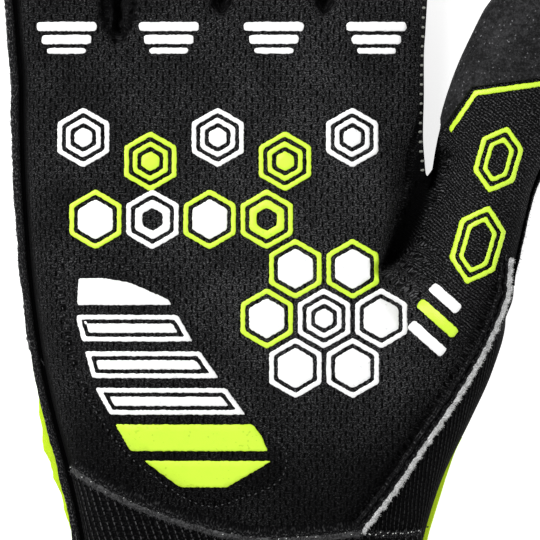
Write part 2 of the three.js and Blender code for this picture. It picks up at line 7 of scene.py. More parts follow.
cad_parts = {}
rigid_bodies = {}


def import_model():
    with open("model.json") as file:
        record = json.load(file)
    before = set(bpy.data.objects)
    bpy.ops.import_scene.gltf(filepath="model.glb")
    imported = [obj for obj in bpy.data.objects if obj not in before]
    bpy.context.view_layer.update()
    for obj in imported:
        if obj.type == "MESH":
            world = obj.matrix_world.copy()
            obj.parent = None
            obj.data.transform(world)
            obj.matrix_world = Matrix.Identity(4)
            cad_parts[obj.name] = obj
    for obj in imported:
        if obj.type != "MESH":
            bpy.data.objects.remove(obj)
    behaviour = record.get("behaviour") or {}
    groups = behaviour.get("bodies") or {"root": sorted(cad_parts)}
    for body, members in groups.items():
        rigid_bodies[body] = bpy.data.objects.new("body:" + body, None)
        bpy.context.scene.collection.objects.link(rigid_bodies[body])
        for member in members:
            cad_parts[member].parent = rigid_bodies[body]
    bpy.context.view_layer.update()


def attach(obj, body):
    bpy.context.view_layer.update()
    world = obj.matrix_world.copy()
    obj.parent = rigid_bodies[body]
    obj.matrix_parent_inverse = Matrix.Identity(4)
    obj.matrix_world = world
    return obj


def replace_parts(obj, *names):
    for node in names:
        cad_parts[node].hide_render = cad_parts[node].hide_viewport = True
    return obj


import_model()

mm = 0.001

# sizes of the hand, in millimetres, with the section tables as shares of them

hand = {
    "palmWidth": 101.5,
    "cuffReach": 104.0,
    "crotchReach": 66.0,
    "palmThickness": 26.0,
    "fingerWidth": 25.6,
    "fingerLength": 84.0,
    "fingerThickness": 17.0,
    "thumbWidth": 28.0,
    "thumbThickness": 20.0,
    "thumbLength": 88.0,
    "wall": 1.8,
    "seamHeight": 10.5,
    "thumbSeamHeight": 17.0,
    "palmRoundness": 2.7,
    "fingerRoundness": 2.4,
    "thumbRoundness": 2.3,
    "palmEnd": 0.12,  # of crotchReach, rounded off between the fingers
    "fingerStart": 0.73,  # of crotchReach, where the fingers' bodies begin
    "fingerOverlap": 0.27,
    "tipNarrowing": 0.8,
    "roundedCloth": 11.0,  # radius by which the cloth's map runs on over a side
    "hemLength": 9.0,
    "palmSides": 120,
    "fingerSides": 64,
    "voxel": 1.0,
    "hollowVoxel": 1.5,
    "smoothing": 7,
}
halfPalm = hand["palmWidth"] / 2

# along, little side, thumb side, top
palmRows = [
    (-1.0, 0.63, 0.92, 0.84),
    (-0.8, 0.65, 0.94, 0.82),
    (-0.64, 0.685, 1.0, 0.87),
    (-0.49, 0.75, 1.1, 0.95),
    (-0.36, 0.82, 1.23, 1.02),
    (-0.24, 0.875, 1.34, 1.04),
    (-0.1, 0.92, 1.4, 1.02),
    (0.06, 0.95, 1.25, 0.98),
    (0.22, 0.965, 1.06, 0.94),
    (0.44, 0.98, 1.0, 0.87),
    (0.68, 0.985, 1.0, 0.79),
    (0.88, 0.985, 1.0, 0.68),
]
# base across the palm, length, width, lean in degrees
fingers = {
    "little": (-0.752, 0.7, 0.95, 4.0),
    "ring": (-0.256, 0.93, 1.0, 1.6),
    "middle": (0.254, 1.0, 1.0, -0.6),
    "index": (0.752, 0.88, 0.98, -2.6),
}
# along, width, thickness, lift
fingerRows = [
    (0.0, 0.97, 0.98, 0.0),
    (0.3, 1.0, 0.99, 0.0),
    (0.58, 0.97, 0.94, 0.0),
    (0.8, 0.93, 0.9, 0.04),
]
# along, aside, width, rise, thickness
thumbRows = [
    (-0.14, -0.2, 0.84, 0.62, 1.0),
    (0.02, 0.06, 1.02, 0.7, 1.18),
    (0.2, 0.32, 1.02, 0.78, 1.16),
    (0.36, 0.46, 0.98, 0.84, 1.06),
    (0.54, 0.58, 1.02, 0.86, 1.0),
    (0.7, 0.74, 1.02, 0.86, 0.96),
    (0.83, 0.9, 0.97, 0.85, 0.9),
]
thumbRoot = np.array([1.02 * halfPalm, -0.16 * hand["cuffReach"]])
domeAngles = np.radians([14, 28, 40, 52, 62, 71, 79, 85])  # of the rings over a tip


def yAt(share):
    return share * (hand["cuffReach"] if share < 0 else hand["crotchReach"])


def atShares(pairs):
    return np.array([[x * halfPalm, yAt(y)] for x, y in pairs])


def smoothStep(low, high, value):
    t = np.clip((value - low) / (high - low), 0.0, 1.0)
    return t * t * (3 - 2 * t)


def between(xs, ys, x):  # a smooth curve through a table's points
    xs, ys = np.asarray(xs, float), np.asarray(ys, float)
    slope = np.gradient(ys, xs)
    i = np.clip(np.searchsorted(xs, x) - 1, 0, len(xs) - 2)
    h = xs[i + 1] - xs[i]
    t = (x - xs[i]) / h
    return (
        (2 * t**3 - 3 * t**2 + 1) * ys[i]
        + (t**3 - 2 * t**2 + t) * h * slope[i]
        + (3 * t**2 - 2 * t**3) * ys[i + 1]
        + (t**3 - t**2) * h * slope[i + 1]
    )


def column(rows, k):
    return [row[k] for row in rows]


def rowAt(rows, share, columns):  # a section table's values at a share of its length
    return [between(column(rows, 0), column(rows, k), share) for k in columns]


def unitRows(vectors):
    return vectors / np.linalg.norm(vectors, axis=1)[:, None]


def leftOf(path):  # unit steps to the left of the way along
    step = unitRows(np.gradient(path, axis=0))
    return np.stack([-step[:, 1], step[:, 0]], 1)


def rightOf(forward):
    return np.array([forward[1], -forward[0]])


def swell(distance, reach):
    return np.exp(-((distance / reach) ** 2))


def curveThrough(points, spacing):  # an even, smooth path through a few points
    points = np.asarray(points, float)
    steps = np.linalg.norm(np.diff(points, axis=0), axis=1)
    s = np.concatenate([[0], np.cumsum(steps)])
    fine = np.linspace(0, s[-1], max(8, int(s[-1] / spacing * 4)))
    path = np.stack([between(s, points[:, k], fine) for k in range(points.shape[1])], 1)
    return resampled(path, spacing)


def resampled(path, spacing):
    s = np.concatenate([[0], np.cumsum(np.linalg.norm(np.diff(path, axis=0), axis=1))])
    even = np.linspace(0, s[-1], max(2, int(round(s[-1] / spacing)) + 1))
    return np.stack([np.interp(even, s, path[:, k]) for k in range(path.shape[1])], 1)


# mesh helpers


def meshObject(name, verts, faces):
    mesh = bpy.data.meshes.new(name)
    mesh.from_pydata((np.asarray(verts, float) * mm).tolist(), [], faces)
    mesh.update()
    obj = bpy.data.objects.new(name, mesh)
    bpy.context.scene.collection.objects.link(obj)
    return obj


def applied(obj):
    view = bpy.context.evaluated_depsgraph_get()
    mesh = bpy.data.meshes.new_from_object(obj.evaluated_get(view), depsgraph=view)
    old = obj.data
    obj.modifiers.clear()
    obj.data = mesh
    mesh.name = obj.name
    bpy.data.meshes.remove(old)
    return obj


def copyOf(obj, name):
    twin = obj.copy()
    twin.data = obj.data.copy()
    twin.name = name
    bpy.context.scene.collection.objects.link(twin)
    return twin


def discard(*objs):
    for obj in objs:
        mesh = obj.data
        bpy.data.objects.remove(obj)
        bpy.data.meshes.remove(mesh)


def carve(obj, cutter, operation, keepCutter=False):
    cut = obj.modifiers.new("cut", "BOOLEAN")
    cut.operation = operation
    cut.solver = "MANIFOLD"
    cut.object = cutter
    applied(obj)
    if not keepCutter:
        discard(cutter)
    return obj


def coordinates(mesh):
    co = np.empty(len(mesh.vertices) * 3)
    mesh.vertices.foreach_get("co", co)
    return co.reshape(-1, 3) / mm


def vertexNormals(mesh):
    normals = np.empty(len(mesh.vertices) * 3)
    mesh.vertices.foreach_get("normal", normals)
    return normals.reshape(-1, 3)


@contextmanager
def editing(mesh):
    bm = bmesh.new()
    bm.from_mesh(mesh)
    yield bm
    bm.to_mesh(mesh)
    bm.free()


def shadeSmooth(obj, angle=40):
    obj.data.shade_smooth()
    with editing(obj.data) as bm:
        for edge in bm.edges:
            if len(edge.link_faces) == 2 and edge.calc_face_angle(0) > math.radians(angle):
                edge.smooth = False


def faceOutwards(mesh):
    with editing(mesh) as bm:
        bmesh.ops.recalc_face_normals(bm, faces=bm.faces[:])


# rough bodies of the hand, as closed lofts


def section(half, top, seam, floor, sides, roundness):
    angle = np.arange(sides) / sides * 2 * np.pi
    power = lambda value: np.sign(value) * np.abs(value) ** (2 / roundness)
    across = half * power(np.cos(angle))
    up = power(np.sin(angle))
    above = seam + up * (top - seam)
    below = np.maximum(floor, seam + up * (seam - floor + 1.2))
    return across, np.where(up >= 0, above, below)


def loft(rings):
    sides = len(rings[0])
    verts = [p for ring in rings for p in ring]
    faces = []
    for r in range(len(rings) - 1):
        for i in range(sides):
            a, b = r * sides + i, r * sides + (i + 1) % sides
            faces.append((a, a + sides, b + sides, b))
    faces.append(tuple(range(sides)))
    faces.append(tuple(reversed(range(len(verts) - sides, len(verts)))))
    return verts, faces


def palmBody(grow):
    ys = [yAt(share) for share in column(palmRows, 0)]
    columns = [column(palmRows, k) for k in (1, 2, 3)]
    thick, seam = hand["palmThickness"], hand["seamHeight"]
    rings = []

    def ring(y, little, thumb, top, squeeze):
        left, right = -little * halfPalm - grow, thumb * halfPalm + grow
        high = seam + (top * thick + grow - seam) * squeeze
        low = seam - (seam + min(grow, 0)) * squeeze
        half = (right - left) / 2
        across, z = section(half, high, seam, low, hand["palmSides"], hand["palmRoundness"])
        x = (left + right) / 2 + across
        rings.append(np.stack([x, np.full_like(x, y), z], 1))

    start = -hand["cuffReach"] - (20 if grow < 0 else 0)  # the hollow runs out past the cuff
    for y in np.arange(start, ys[-1], 2.0):
        at = max(y, ys[0])
        ring(y, *[between(ys, values, at) for values in columns], 1)
    radius = hand["palmEnd"] * hand["crotchReach"]
    for angle in np.radians(np.arange(0, 85, 12)):
        y = hand["crotchReach"] - radius + (radius + grow) * math.sin(angle)
        ring(y, *[values[-1] for values in columns], math.cos(angle))
    return loft(rings)


def fingerFrame(name):
    base, length, width, lean = fingers[name]
    turn = math.radians(lean)
    root = np.array([base * halfPalm, hand["crotchReach"] * hand["fingerStart"]])
    forward = np.array([-math.sin(turn), math.cos(turn)])
    reach = length * hand["fingerLength"] + hand["crotchReach"] * hand["fingerOverlap"]
    return root, forward, reach, width * hand["fingerWidth"] / 2


def fingerBody(name, grow):
    root, forward, reach, half = fingerFrame(name)
    seam, thick = hand["seamHeight"], hand["fingerThickness"]
    rings = []

    def ring(along, width, top, floor):
        across, z = section(width, top, seam, floor, hand["fingerSides"], hand["fingerRoundness"])
        xy = root + forward * along + rightOf(forward) * across[:, None]
        rings.append(np.column_stack([xy, z]))

    for share in np.linspace(0, fingerRows[-1][0], 24):
        width, thickness, lift = rowAt(fingerRows, share, (1, 2, 3))
        floor = lift * thick - min(grow, 0)
        ring(share * reach, width * half + grow, thickness * thick + grow, floor)
    lastShare, width, thickness, lift = fingerRows[-1]
    start = lastShare * reach
    top, floor = thickness * thick + grow, lift * thick - min(grow, 0)
    for angle in domeAngles:
        squeeze = math.cos(angle)
        ring(
            start + (reach - start + grow) * math.sin(angle),
            (width * half + grow) * squeeze ** hand["tipNarrowing"],
            seam + (top - seam) * math.sqrt(squeeze),
            seam - (seam - floor) * math.sqrt(squeeze),
        )
    return loft(rings)


lastThumbShare = thumbRows[-1][0]


def thumbCentre(share):
    (aside,) = rowAt(thumbRows, share, (1,))
    return thumbRoot + np.array([aside * hand["thumbWidth"], share * hand["thumbLength"]])


def thumbForward(share):
    share = min(share, lastThumbShare - 0.011)  # stays inside the table
    step = thumbCentre(share + 0.01) - thumbCentre(share - 0.01)
    return step / np.linalg.norm(step)


def thumbBody(grow):
    wide, thick = hand["thumbWidth"], hand["thumbThickness"]
    rings = []

    def ring(centre, share, half, low, middle, high):
        across, z = section(half, high, middle, low, hand["fingerSides"], hand["thumbRoundness"])
        aside = rightOf(thumbForward(share)) * across[:, None]
        rings.append(np.column_stack([centre + aside, z]))

    for share in np.linspace(thumbRows[0][0], lastThumbShare, 30):
        width, rise, thickness = rowAt(thumbRows, share, (2, 3, 4))
        middle, reach = rise * thick, thickness * thick / 2
        low = max(-min(grow, 0), middle - reach - grow)
        half = width * wide / 2 + grow
        ring(thumbCentre(share), share, half, low, middle, middle + reach + grow)
    share, _, width, rise, thickness = thumbRows[-1]
    middle = rise * thick
    tip = (1 - share) * hand["thumbLength"]
    for angle in domeAngles:
        squeeze = math.cos(angle)
        reach = (thickness * thick / 2 + grow) * math.sqrt(squeeze)
        centre = thumbCentre(share) + thumbForward(share) * (tip + grow) * math.sin(angle)
        half = (width * wide / 2 + grow) * squeeze ** hand["tipNarrowing"]
        ring(centre, share, half, middle - reach, middle, middle + reach)
    return loft(rings)


# height of the side seam all round


def seamZ(x, y):
    seam, thumb = hand["seamHeight"], hand["thumbSeamHeight"]
    sideX = thumbRoot[0] - 0.06 * hand["thumbWidth"]
    across = smoothStep(sideX, sideX + 0.3 * hand["thumbWidth"], x)
    along = smoothStep(-0.42 * hand["cuffReach"], -0.1 * hand["cuffReach"], y)
    return seam + (thumb - seam) * across * along


# folds, hollows and pads of the fabric, as heights over the plain form

folds = {
    "crease": [(52.4, 32), (51.2, 27), (49.4, 20.5), (47.0, 13.6), (44.4, 7.6), (41.4, 2.4), (37.6, -1.4)],
    "creaseDepth": 11.0,
    "creaseWidth": 2.7,
    "creaseLip": 1.5,
    "hollows": [  # place across and along, spread across and along, depth
        (-0.1, 0.2, 0.42, 0.55, -0.07),
        (-0.5, -0.45, 0.3, 0.6, 0.05),
        (0.95, 0.1, 0.13, 0.3, -0.2),
        (1.02, 0.32, 0.14, 0.24, -0.24),
    ],
    "pulls": [  # in the cloth, running on from the crease's end: start, end, height
        ((37.0, 4.0), (57.0, -13.0), 0.75),
        ((34.5, 0.5), (55.0, -19.0), 0.9),
        ((31.5, -2.5), (48.0, -22.0), 0.55),
        ((41.5, 9.5), (60.0, -6.0), 0.6),
    ],
    "shortFolds": [  # beside the index finger's root
        ((48.5, 34.0), (46.5, 13.0), 0.6),
        ((46.0, 27.0), (43.2, 11.0), 0.5),
        ((43.5, 20.0), (39.5, 5.5), 0.45),
    ],
    "heelLift": 1.3,
    "seamGroove": 0.7,
    "gussetGroove": 1.0,
    "gather": 0.38,
    "slotDepth": 1.9,
    "waves": 0.35,
    "fineWaves": 0.09,
    "backWaves": 0.25,
    "rootSlim": 2.6,
    "seed": 11,
}


def slimmed(x, y):  # the thumb's root is drawn in on its outer side
    along = smoothStep(-9.0, 2.0, y) * smoothStep(38.0, 18.0, y)
    return x - folds["rootSlim"] * along * smoothStep(60.0, 75.0, x)


heelOutline = atShares([
    (-0.78, 0.03), (-0.62, 0.035), (-0.45, 0.0), (-0.26, -0.045), (-0.15, -0.1),
    (-0.09, -0.17), (0.04, -0.27), (0.22, -0.38), (0.32, -0.445), (0.3, -0.49),
    (0.1, -0.545), (-0.08, -0.565), (-0.2, -0.54), (-0.34, -0.49), (-0.48, -0.43),
    (-0.6, -0.35), (-0.72, -0.23), (-0.78, -0.09), (-0.8, 0.0),
])
heelPath = curveThrough(np.vstack([heelOutline, heelOutline[:1]]), 1.0)


def pathDistance(points, path):  # distance to a path, and how far along it
    best = np.full(len(points), 1e9)
    along = np.zeros(len(points))
    side = np.zeros(len(points))
    total = 0.0
    for a, b in zip(path[:-1], path[1:]):
        edge = b - a
        length = np.linalg.norm(edge)
        if length < 1e-9:
            continue
        t = np.clip(((points - a) @ edge) / length**2, 0, 1)
        gap = points - (a + t[:, None] * edge)
        d = np.linalg.norm(gap, axis=1)
        near = d < best
        best = np.where(near, d, best)
        along = np.where(near, total + t * length, along)
        cross = edge[0] * gap[:, 1] - edge[1] * gap[:, 0]
        side = np.where(near, np.sign(cross), side)
        total += length
    return best, along / total, side


def insidePolygon(points, polygon):
    inside = np.zeros(len(points), bool)
    x, y = points[:, 0], points[:, 1]
    for (x1, y1), (x2, y2) in zip(polygon, np.roll(polygon, -1, axis=0)):
        crosses = (y1 > y) != (y2 > y)
        with np.errstate(divide="ignore", invalid="ignore"):
            at = (x2 - x1) * (y - y1) / (y2 - y1) + x1
        inside ^= crosses & (x < at)
    return inside


def ripple(x, y, seed):  # smooth, irregular waves from a few sines
    rng = random.Random(seed)
    total = np.zeros_like(x)
    for k in range(7):
        angle = rng.uniform(0, math.pi)
        pitch = rng.uniform(0.7, 1.6)
        phase = rng.uniform(0, 6.3)
        total += np.sin((x * math.cos(angle) + y * math.sin(angle)) / pitch + phase)
    return total / 3.5


def palmRelief(x, y):
    height = np.zeros_like(x)
    for placeX, placeY, spreadX, spreadY, depth in folds["hollows"]:
        across = (x / halfPalm - placeX) / spreadX
        along = (y / hand["crotchReach"] - placeY) / spreadY
        height += depth * hand["palmThickness"] * np.exp(-(across**2 + along**2))
    return height


def creaseAt(points):  # how deep the crease presses, and the lip beside it
    d, s, side = pathDistance(points, curveThrough(folds["crease"], 1.0))
    deep = folds["creaseDepth"] * smoothStep(1.0, 0.8, s) * smoothStep(-0.02, 0.1, s)
    reach = folds["creaseWidth"] * np.where(side > 0, 1.5, 1.0) * (0.7 + 0.5 * (1 - s))
    reach *= 1 - 0.5 * smoothStep(0.62, 0.95, s)
    lip = swell(d - 5.6, 2.6) * (side < 0) * smoothStep(0.95, 0.6, s) * smoothStep(0.0, 0.3, s)
    return deep * swell(d, reach), lip


def foldHeight(x, y):
    points = np.stack([x, y], 1)
    height = palmRelief(x, y)
    # crease between palm and thumb: steep on the palm's side, gentle on the thumb's
    pressed, lip = creaseAt(points)
    height += folds["creaseLip"] * lip - pressed
    for start, end, tall in folds["pulls"]:
        middle = ((start[0] + end[0]) / 2 + 1.2, (start[1] + end[1]) / 2 + 1.6)
        d, s, _ = pathDistance(points, curveThrough([start, middle, end], 1.0))
        fade = smoothStep(0.0, 0.18, s) * smoothStep(1.0, 0.45, s)
        height += tall * fade * (swell(d, 1.1) - 0.7 * swell(d - 1.9, 1.0))
    for start, end, tall in folds["shortFolds"]:
        d, s, _ = pathDistance(points, curveThrough([start, end], 1.0))
        fade = smoothStep(0.0, 0.3, s) * smoothStep(1.0, 0.6, s)
        height += tall * fade * (swell(d, 0.8) - 0.6 * swell(d - 1.4, 0.8))
    # padded heel with its stitched outline
    d, s, _ = pathDistance(points, heelPath)
    inside = insidePolygon(points, heelOutline)
    height += folds["heelLift"] * np.where(inside, smoothStep(0.0, 5.0, d), 0.0)
    pucker = 1 + 0.35 * np.sin(s * 380)
    height -= folds["seamGroove"] * pucker * swell(d, 0.9)
    # groove beside the seam of the gusset
    d, s, _ = pathDistance(points, gussetGroove)
    height -= folds["gussetGroove"] * swell(d, 1.05) * smoothStep(1.0, 0.93, s)
    # gathers round the slots where the fingers part
    for centre, tip, half, _ in crotches:
        dx, dy = x - centre, y - tip - 7.0
        r, turn = np.hypot(dx, dy * 0.6), np.arctan2(dy, dx)
        pleat = np.sin(turn * 13 + 0.9 * np.sin(turn * 3)) * swell(r - half - 1.0, 1.6)
        height += folds["gather"] * (pleat + 0.8 * swell(r - half - 1.2, 1.0))
    # soft unevenness of worn cloth
    height += folds["waves"] * ripple(x / 9.0, y / 9.0, folds["seed"])
    height += folds["fineWaves"] * ripple(x / 2.6, y / 2.6, folds["seed"] + 1)
    return height


gussetGroove = curveThrough(
    [(31.8, -63.4), (39.8, -53.2), (48.8, -39.5), (57.8, -25.9), (64.8, -12.8), (69.6, -0.6)], 1.5
)
crotches = [  # x and y of the tip, half width, depth of the slit in it
    (-26.1, 55.8, 4.0, 7.0),
    (-0.1, 63.4, 3.0, 5.0),
    (25.7, 63.4, 3.0, 5.0),
]


def slots(x, y):  # sunk, pointed ends of the slots where the fingers part
    inside, rim, slit, depth = (np.zeros_like(x) for _ in range(4))
    for centre, tip, half, deep in crotches:
        wide = half * np.sqrt(smoothStep(tip, tip + 9.0, y)) + 0.3 * np.sin(y * 2.1)
        off = np.abs(x - centre)
        along = smoothStep(tip, tip + 1.5, y) * smoothStep(tip + 19.0, tip + 11.0, y)
        inside += smoothStep(wide + 0.5, wide - 0.6, off) * along
        rim += swell(off - wide, 0.6) * along
        here = np.exp(-(((x - centre - 0.25 * np.sin(y * 1.3)) / 0.8) ** 4))
        here = here * along * smoothStep(tip + 2.5, tip + 5.0, y)
        slit += here
        depth = np.where(here > 0.01, deep, depth)
    return inside, rim, slit, depth


def drape(obj, grow):  # presses the folds into a skin's palm side
    mesh = obj.data
    co, normals = coordinates(mesh), vertexNormals(mesh)
    co[:, 0] = slimmed(co[:, 0], co[:, 1])
    x, y, z = co.T
    facing = smoothStep(-0.05, 0.5, normals[:, 2])
    inside, _, slit, depth = slots(x, y)
    lift = (foldHeight(x, y) - folds["slotDepth"] * inside - depth * slit) * facing
    seam = seamZ(x, y) + 0.9 + min(grow, 0)
    pressed = np.maximum(z + lift, np.minimum(seam, z))  # the crease stops over the side seam
    co[:, 2] = np.where(x > 38, pressed, z + lift)
    # the back isn't quite flat on the table
    back = smoothStep(0.05, 0.6, -normals[:, 2]) * smoothStep(0.4, 3.0, z)
    co[:, 2] += folds["backWaves"] * ripple(x / 8.0, y / 8.0, 5) * back
    mesh.vertices.foreach_set("co", (co * mm).ravel())
    mesh.update()
    return obj


def skin(name, grow, voxel, smoothing):
    verts, faces = [], []
    bodies = [palmBody(grow), thumbBody(grow)]
    bodies += [fingerBody(finger, grow) for finger in fingers]
    for bodyVerts, bodyFaces in bodies:
        base = len(verts)
        verts += [tuple(v) for v in bodyVerts]
        faces += [tuple(i + base for i in face) for face in bodyFaces]
    obj = meshObject(name, verts, faces)
    remesh = obj.modifiers.new("voxels", "REMESH")
    remesh.mode = "VOXEL"
    remesh.voxel_size = voxel * mm
    smooth = obj.modifiers.new("soften", "SMOOTH")
    smooth.factor = 0.5
    smooth.iterations = smoothing
    applied(obj)
    return drape(obj, grow)


def clothMap(obj):  # a flat map in metres that runs on over the rounded sides
    mesh = obj.data
    co, normals = coordinates(mesh), vertexNormals(mesh)
    lean = np.arccos(np.clip(np.abs(normals[:, 2]), 0, 1))
    flat = normals[:, :2] / np.maximum(np.linalg.norm(normals[:, :2], axis=1), 1e-6)[:, None]
    extra = hand["roundedCloth"] * (lean - np.sin(lean))
    uv = (co[:, :2] + flat * extra[:, None]) * mm
    layer = mesh.uv_layers.new(name="cloth")
    corner = np.empty(len(mesh.loops), int)
    mesh.loops.foreach_get("vertex_index", corner)
    layer.data.foreach_set("uv", uv[corner].ravel())


outer = skin("outerSkin", 0.0, hand["voxel"], hand["smoothing"])
clothMap(outer)
hollow = skin("hollowSkin", -hand["wall"], hand["hollowVoxel"], 5)
clothMap(hollow)
outerTree = BVHTree.FromObject(outer, bpy.context.evaluated_depsgraph_get())
outerPoints = coordinates(outer.data)
print("skins:", len(outer.data.vertices), len(hollow.data.vertices))


def surfaceAt(x, y):  # height of the palm side, in millimetres
    hit = outerTree.ray_cast(Vector((x * mm, y * mm, 0.2)), Vector((0, 0, -1)))[0]
    return hit.z / mm if hit else hand["seamHeight"]


def rightEdge(y):  # how far the body reaches on the thumb's side
    return outerPoints[np.abs(outerPoints[:, 1] - y) < 0.8, 0].max()


# cutters


def winding(loop):  # 1 where a loop turns to the left, -1 where it turns to the right
    x, y = np.asarray(loop, float).T
    return 1 if np.sum(x * np.roll(y, -1) - y * np.roll(x, -1)) > 0 else -1


def prism(outline, low=-60.0, high=90.0):
    outline = [tuple(p) for p in outline]
    if winding(outline) < 0:
        outline.reverse()
    n = len(outline)
    verts = [(x, y, low) for x, y in outline] + [(x, y, high) for x, y in outline]
    faces = [tuple(reversed(range(n))), tuple(range(n, 2 * n))]
    faces += [(i, (i + 1) % n, (i + 1) % n + n, i + n) for i in range(n)]
    obj = meshObject("cutter", verts, faces)
    with editing(obj.data) as bm:
        bmesh.ops.triangulate(bm, faces=bm.faces[:])
    return obj


def slab(low, high):  # everything between two heights over the side seam
    xs, ys = np.linspace(-110, 150, 131), np.linspace(-140, 190, 166)
    gx, gy = np.meshgrid(xs, ys)
    z = seamZ(gx, gy)
    bottom = np.stack([gx, gy, z + low], -1).reshape(-1, 3)
    top = np.stack([gx, gy, z + high], -1).reshape(-1, 3)
    nx, ny, n = len(xs), len(ys), len(bottom)
    faces = []
    for r in range(ny - 1):
        for c in range(nx - 1):
            a = r * nx + c
            faces.append((a, a + nx, a + nx + 1, a + 1))
            faces.append((a + n, a + 1 + n, a + nx + 1 + n, a + nx + n))
    edge = list(range(nx))
    edge += [r * nx + nx - 1 for r in range(1, ny)]
    edge += [(ny - 1) * nx + c for c in range(nx - 2, -1, -1)]
    edge += [r * nx for r in range(ny - 2, 0, -1)]
    for a, b in zip(edge, edge[1:] + edge[:1]):
        faces.append((a, b, b + n, a + n))
    return meshObject("slab", np.vstack([bottom, top]), faces)


far, farDown = 3 * halfPalm, -220
palmSeam = curveThrough(atShares([
    (-1.1, -0.4), (-0.81, -0.455), (-0.55, -0.53), (-0.2, -0.6), (0.16, -0.64), (0.45, -0.637), (0.69, -0.625),
]), 2.0)
gussetSeam = curveThrough(atShares([
    (0.69, -0.625), (0.84, -0.53), (1.02, -0.4), (1.2, -0.27), (1.34, -0.14), (1.44, -0.01), (1.5, 0.1),
]), 2.0)
seamGap = 0.06  # between panels cut from one shell


def cuffZone(spare):
    left, right = palmSeam[0], palmSeam[-1]
    return prism(
        [(x, y + spare) for x, y in palmSeam]
        + [(far, right[1] + spare), (far, farDown), (-far, farDown), (-far, left[1] + spare)]
    )


def gussetZone(spare):
    top = gussetSeam[-1]
    return prism(
        [(x - spare, y) for x, y in gussetSeam]
        + [(top[0], top[1] + spare), (far, top[1] + spare), (far, gussetSeam[0][1])]
    )


hemStart = -hand["cuffReach"] + hand["hemLength"]


def below(y):
    return prism([(-far, -300), (far, -300), (far, y), (-far, y)])


thumbLine = atShares(
    [(1.02, 3), (1.02, 0.36), (0.98, 0.12), (1.05, -0.08), (1.16, -0.24), (1.3, -0.34)]
)


def thumbZone(spare):
    return prism(
        [(x - spare, y) for x, y in thumbLine]
        + [(far, thumbLine[-1][1] - spare), (far, thumbLine[0][1])]
    )


backSeam = atShares([(-3, -0.22), (-0.9, -0.24), (0, -0.32), (0.8, -0.4), (3, -0.42)])


def backWristZone(spare):
    return prism([(x, y + spare) for x, y in backSeam] + [(far, farDown), (-far, farDown)])


def pointOn(finger, y):
    root, forward, _, _ = fingerFrame(finger)
    return (root[0] + forward[0] / forward[1] * (y - root[1]), y)


def tipY(finger):
    root, forward, reach, _ = fingerFrame(finger)
    return root[1] + forward[1] * reach


strips = {
    "fourchette_little_ring": ("little", "ring"),
    "fourchette_ring_middle": ("ring", "middle"),
    "fourchette_middle_index": ("middle", "index"),
    "index_side_strip": ("index", None),
}
stripEnd = 0.62 * hand["fingerWidth"]


def stripZone(name, spare):
    left, right = strips[name]
    beside = 0.7 * hand["fingerWidth"]

    def rightPoint(y):
        x, y = pointOn(right or left, y)
        return (x if right else x + beside, y)

    low = (0.86 if right else 0.34) * hand["crotchReach"] - spare
    leftTop = tipY(left) - stripEnd + spare
    rightTop = tipY(right or left) - stripEnd + spare
    outline = [pointOn(left, low), rightPoint(low), rightPoint(rightTop), pointOn(left, leftTop)]
    seam = hand["seamHeight"]
    return prism(outline, seam - 5.5 - spare, seam + 2.5 + spare)


# panels, cut from one shell so that their walls line up

plainSkin = copyOf(outer, "plainSkin")
carve(outer, hollow, "DIFFERENCE", keepCutter=True)
shell = outer
print("shell:", len(shell.data.polygons))

upper = carve(copyOf(shell, "upper"), slab(0.05, 200), "INTERSECT")
lower = carve(copyOf(shell, "lower"), slab(-200, -0.05), "INTERSECT")
panels = {}
for name in strips:
    panels[name] = carve(copyOf(shell, name), stripZone(name, 0), "INTERSECT")
    carve(upper, stripZone(name, seamGap), "DIFFERENCE")
    carve(lower, stripZone(name, seamGap), "DIFFERENCE")

palm = carve(copyOf(upper, "palm_panel"), cuffZone(seamGap), "DIFFERENCE")
panels["palm_panel"] = carve(palm, gussetZone(seamGap), "DIFFERENCE")
gusset = carve(copyOf(upper, "wrist_gusset"), gussetZone(0), "INTERSECT")
panels["wrist_gusset"] = carve(gusset, cuffZone(seamGap), "DIFFERENCE")
cuff = carve(copyOf(upper, "cuff_front"), cuffZone(0), "INTERSECT")
panels["cuff_front"] = carve(cuff, below(hemStart + seamGap), "DIFFERENCE")
wrist = carve(copyOf(lower, "back_wrist_panel"), backWristZone(0), "INTERSECT")
panels["back_wrist_panel"] = carve(wrist, below(hemStart + seamGap), "DIFFERENCE")
thumbBack = carve(copyOf(lower, "thumb_back_panel"), thumbZone(0), "INTERSECT")
panels["thumb_back_panel"] = carve(thumbBack, backWristZone(seamGap), "DIFFERENCE")
back = carve(copyOf(lower, "back_panel"), backWristZone(seamGap), "DIFFERENCE")
panels["back_panel"] = carve(back, thumbZone(seamGap), "DIFFERENCE")
discard(upper, lower, shell)


def mainBody(obj):  # drops the crumbs that a cut leaves along a seam
    with editing(obj.data) as bm:
        unseen = set(bm.verts)
        groups = []
        while unseen:
            group, edge = set(), [unseen.pop()]
            while edge:
                v = edge.pop()
                group.add(v)
                for e in v.link_edges:
                    other = e.other_vert(v)
                    if other in unseen:
                        unseen.remove(other)
                        edge.append(other)
            groups.append(group)
        groups.sort(key=len)
        for group in groups[:-1]:
            bmesh.ops.delete(bm, geom=list(group), context="VERTS")


for obj in panels.values():
    mainBody(obj)
    shadeSmooth(obj)
print("panels cut:", len(panels))


# materials


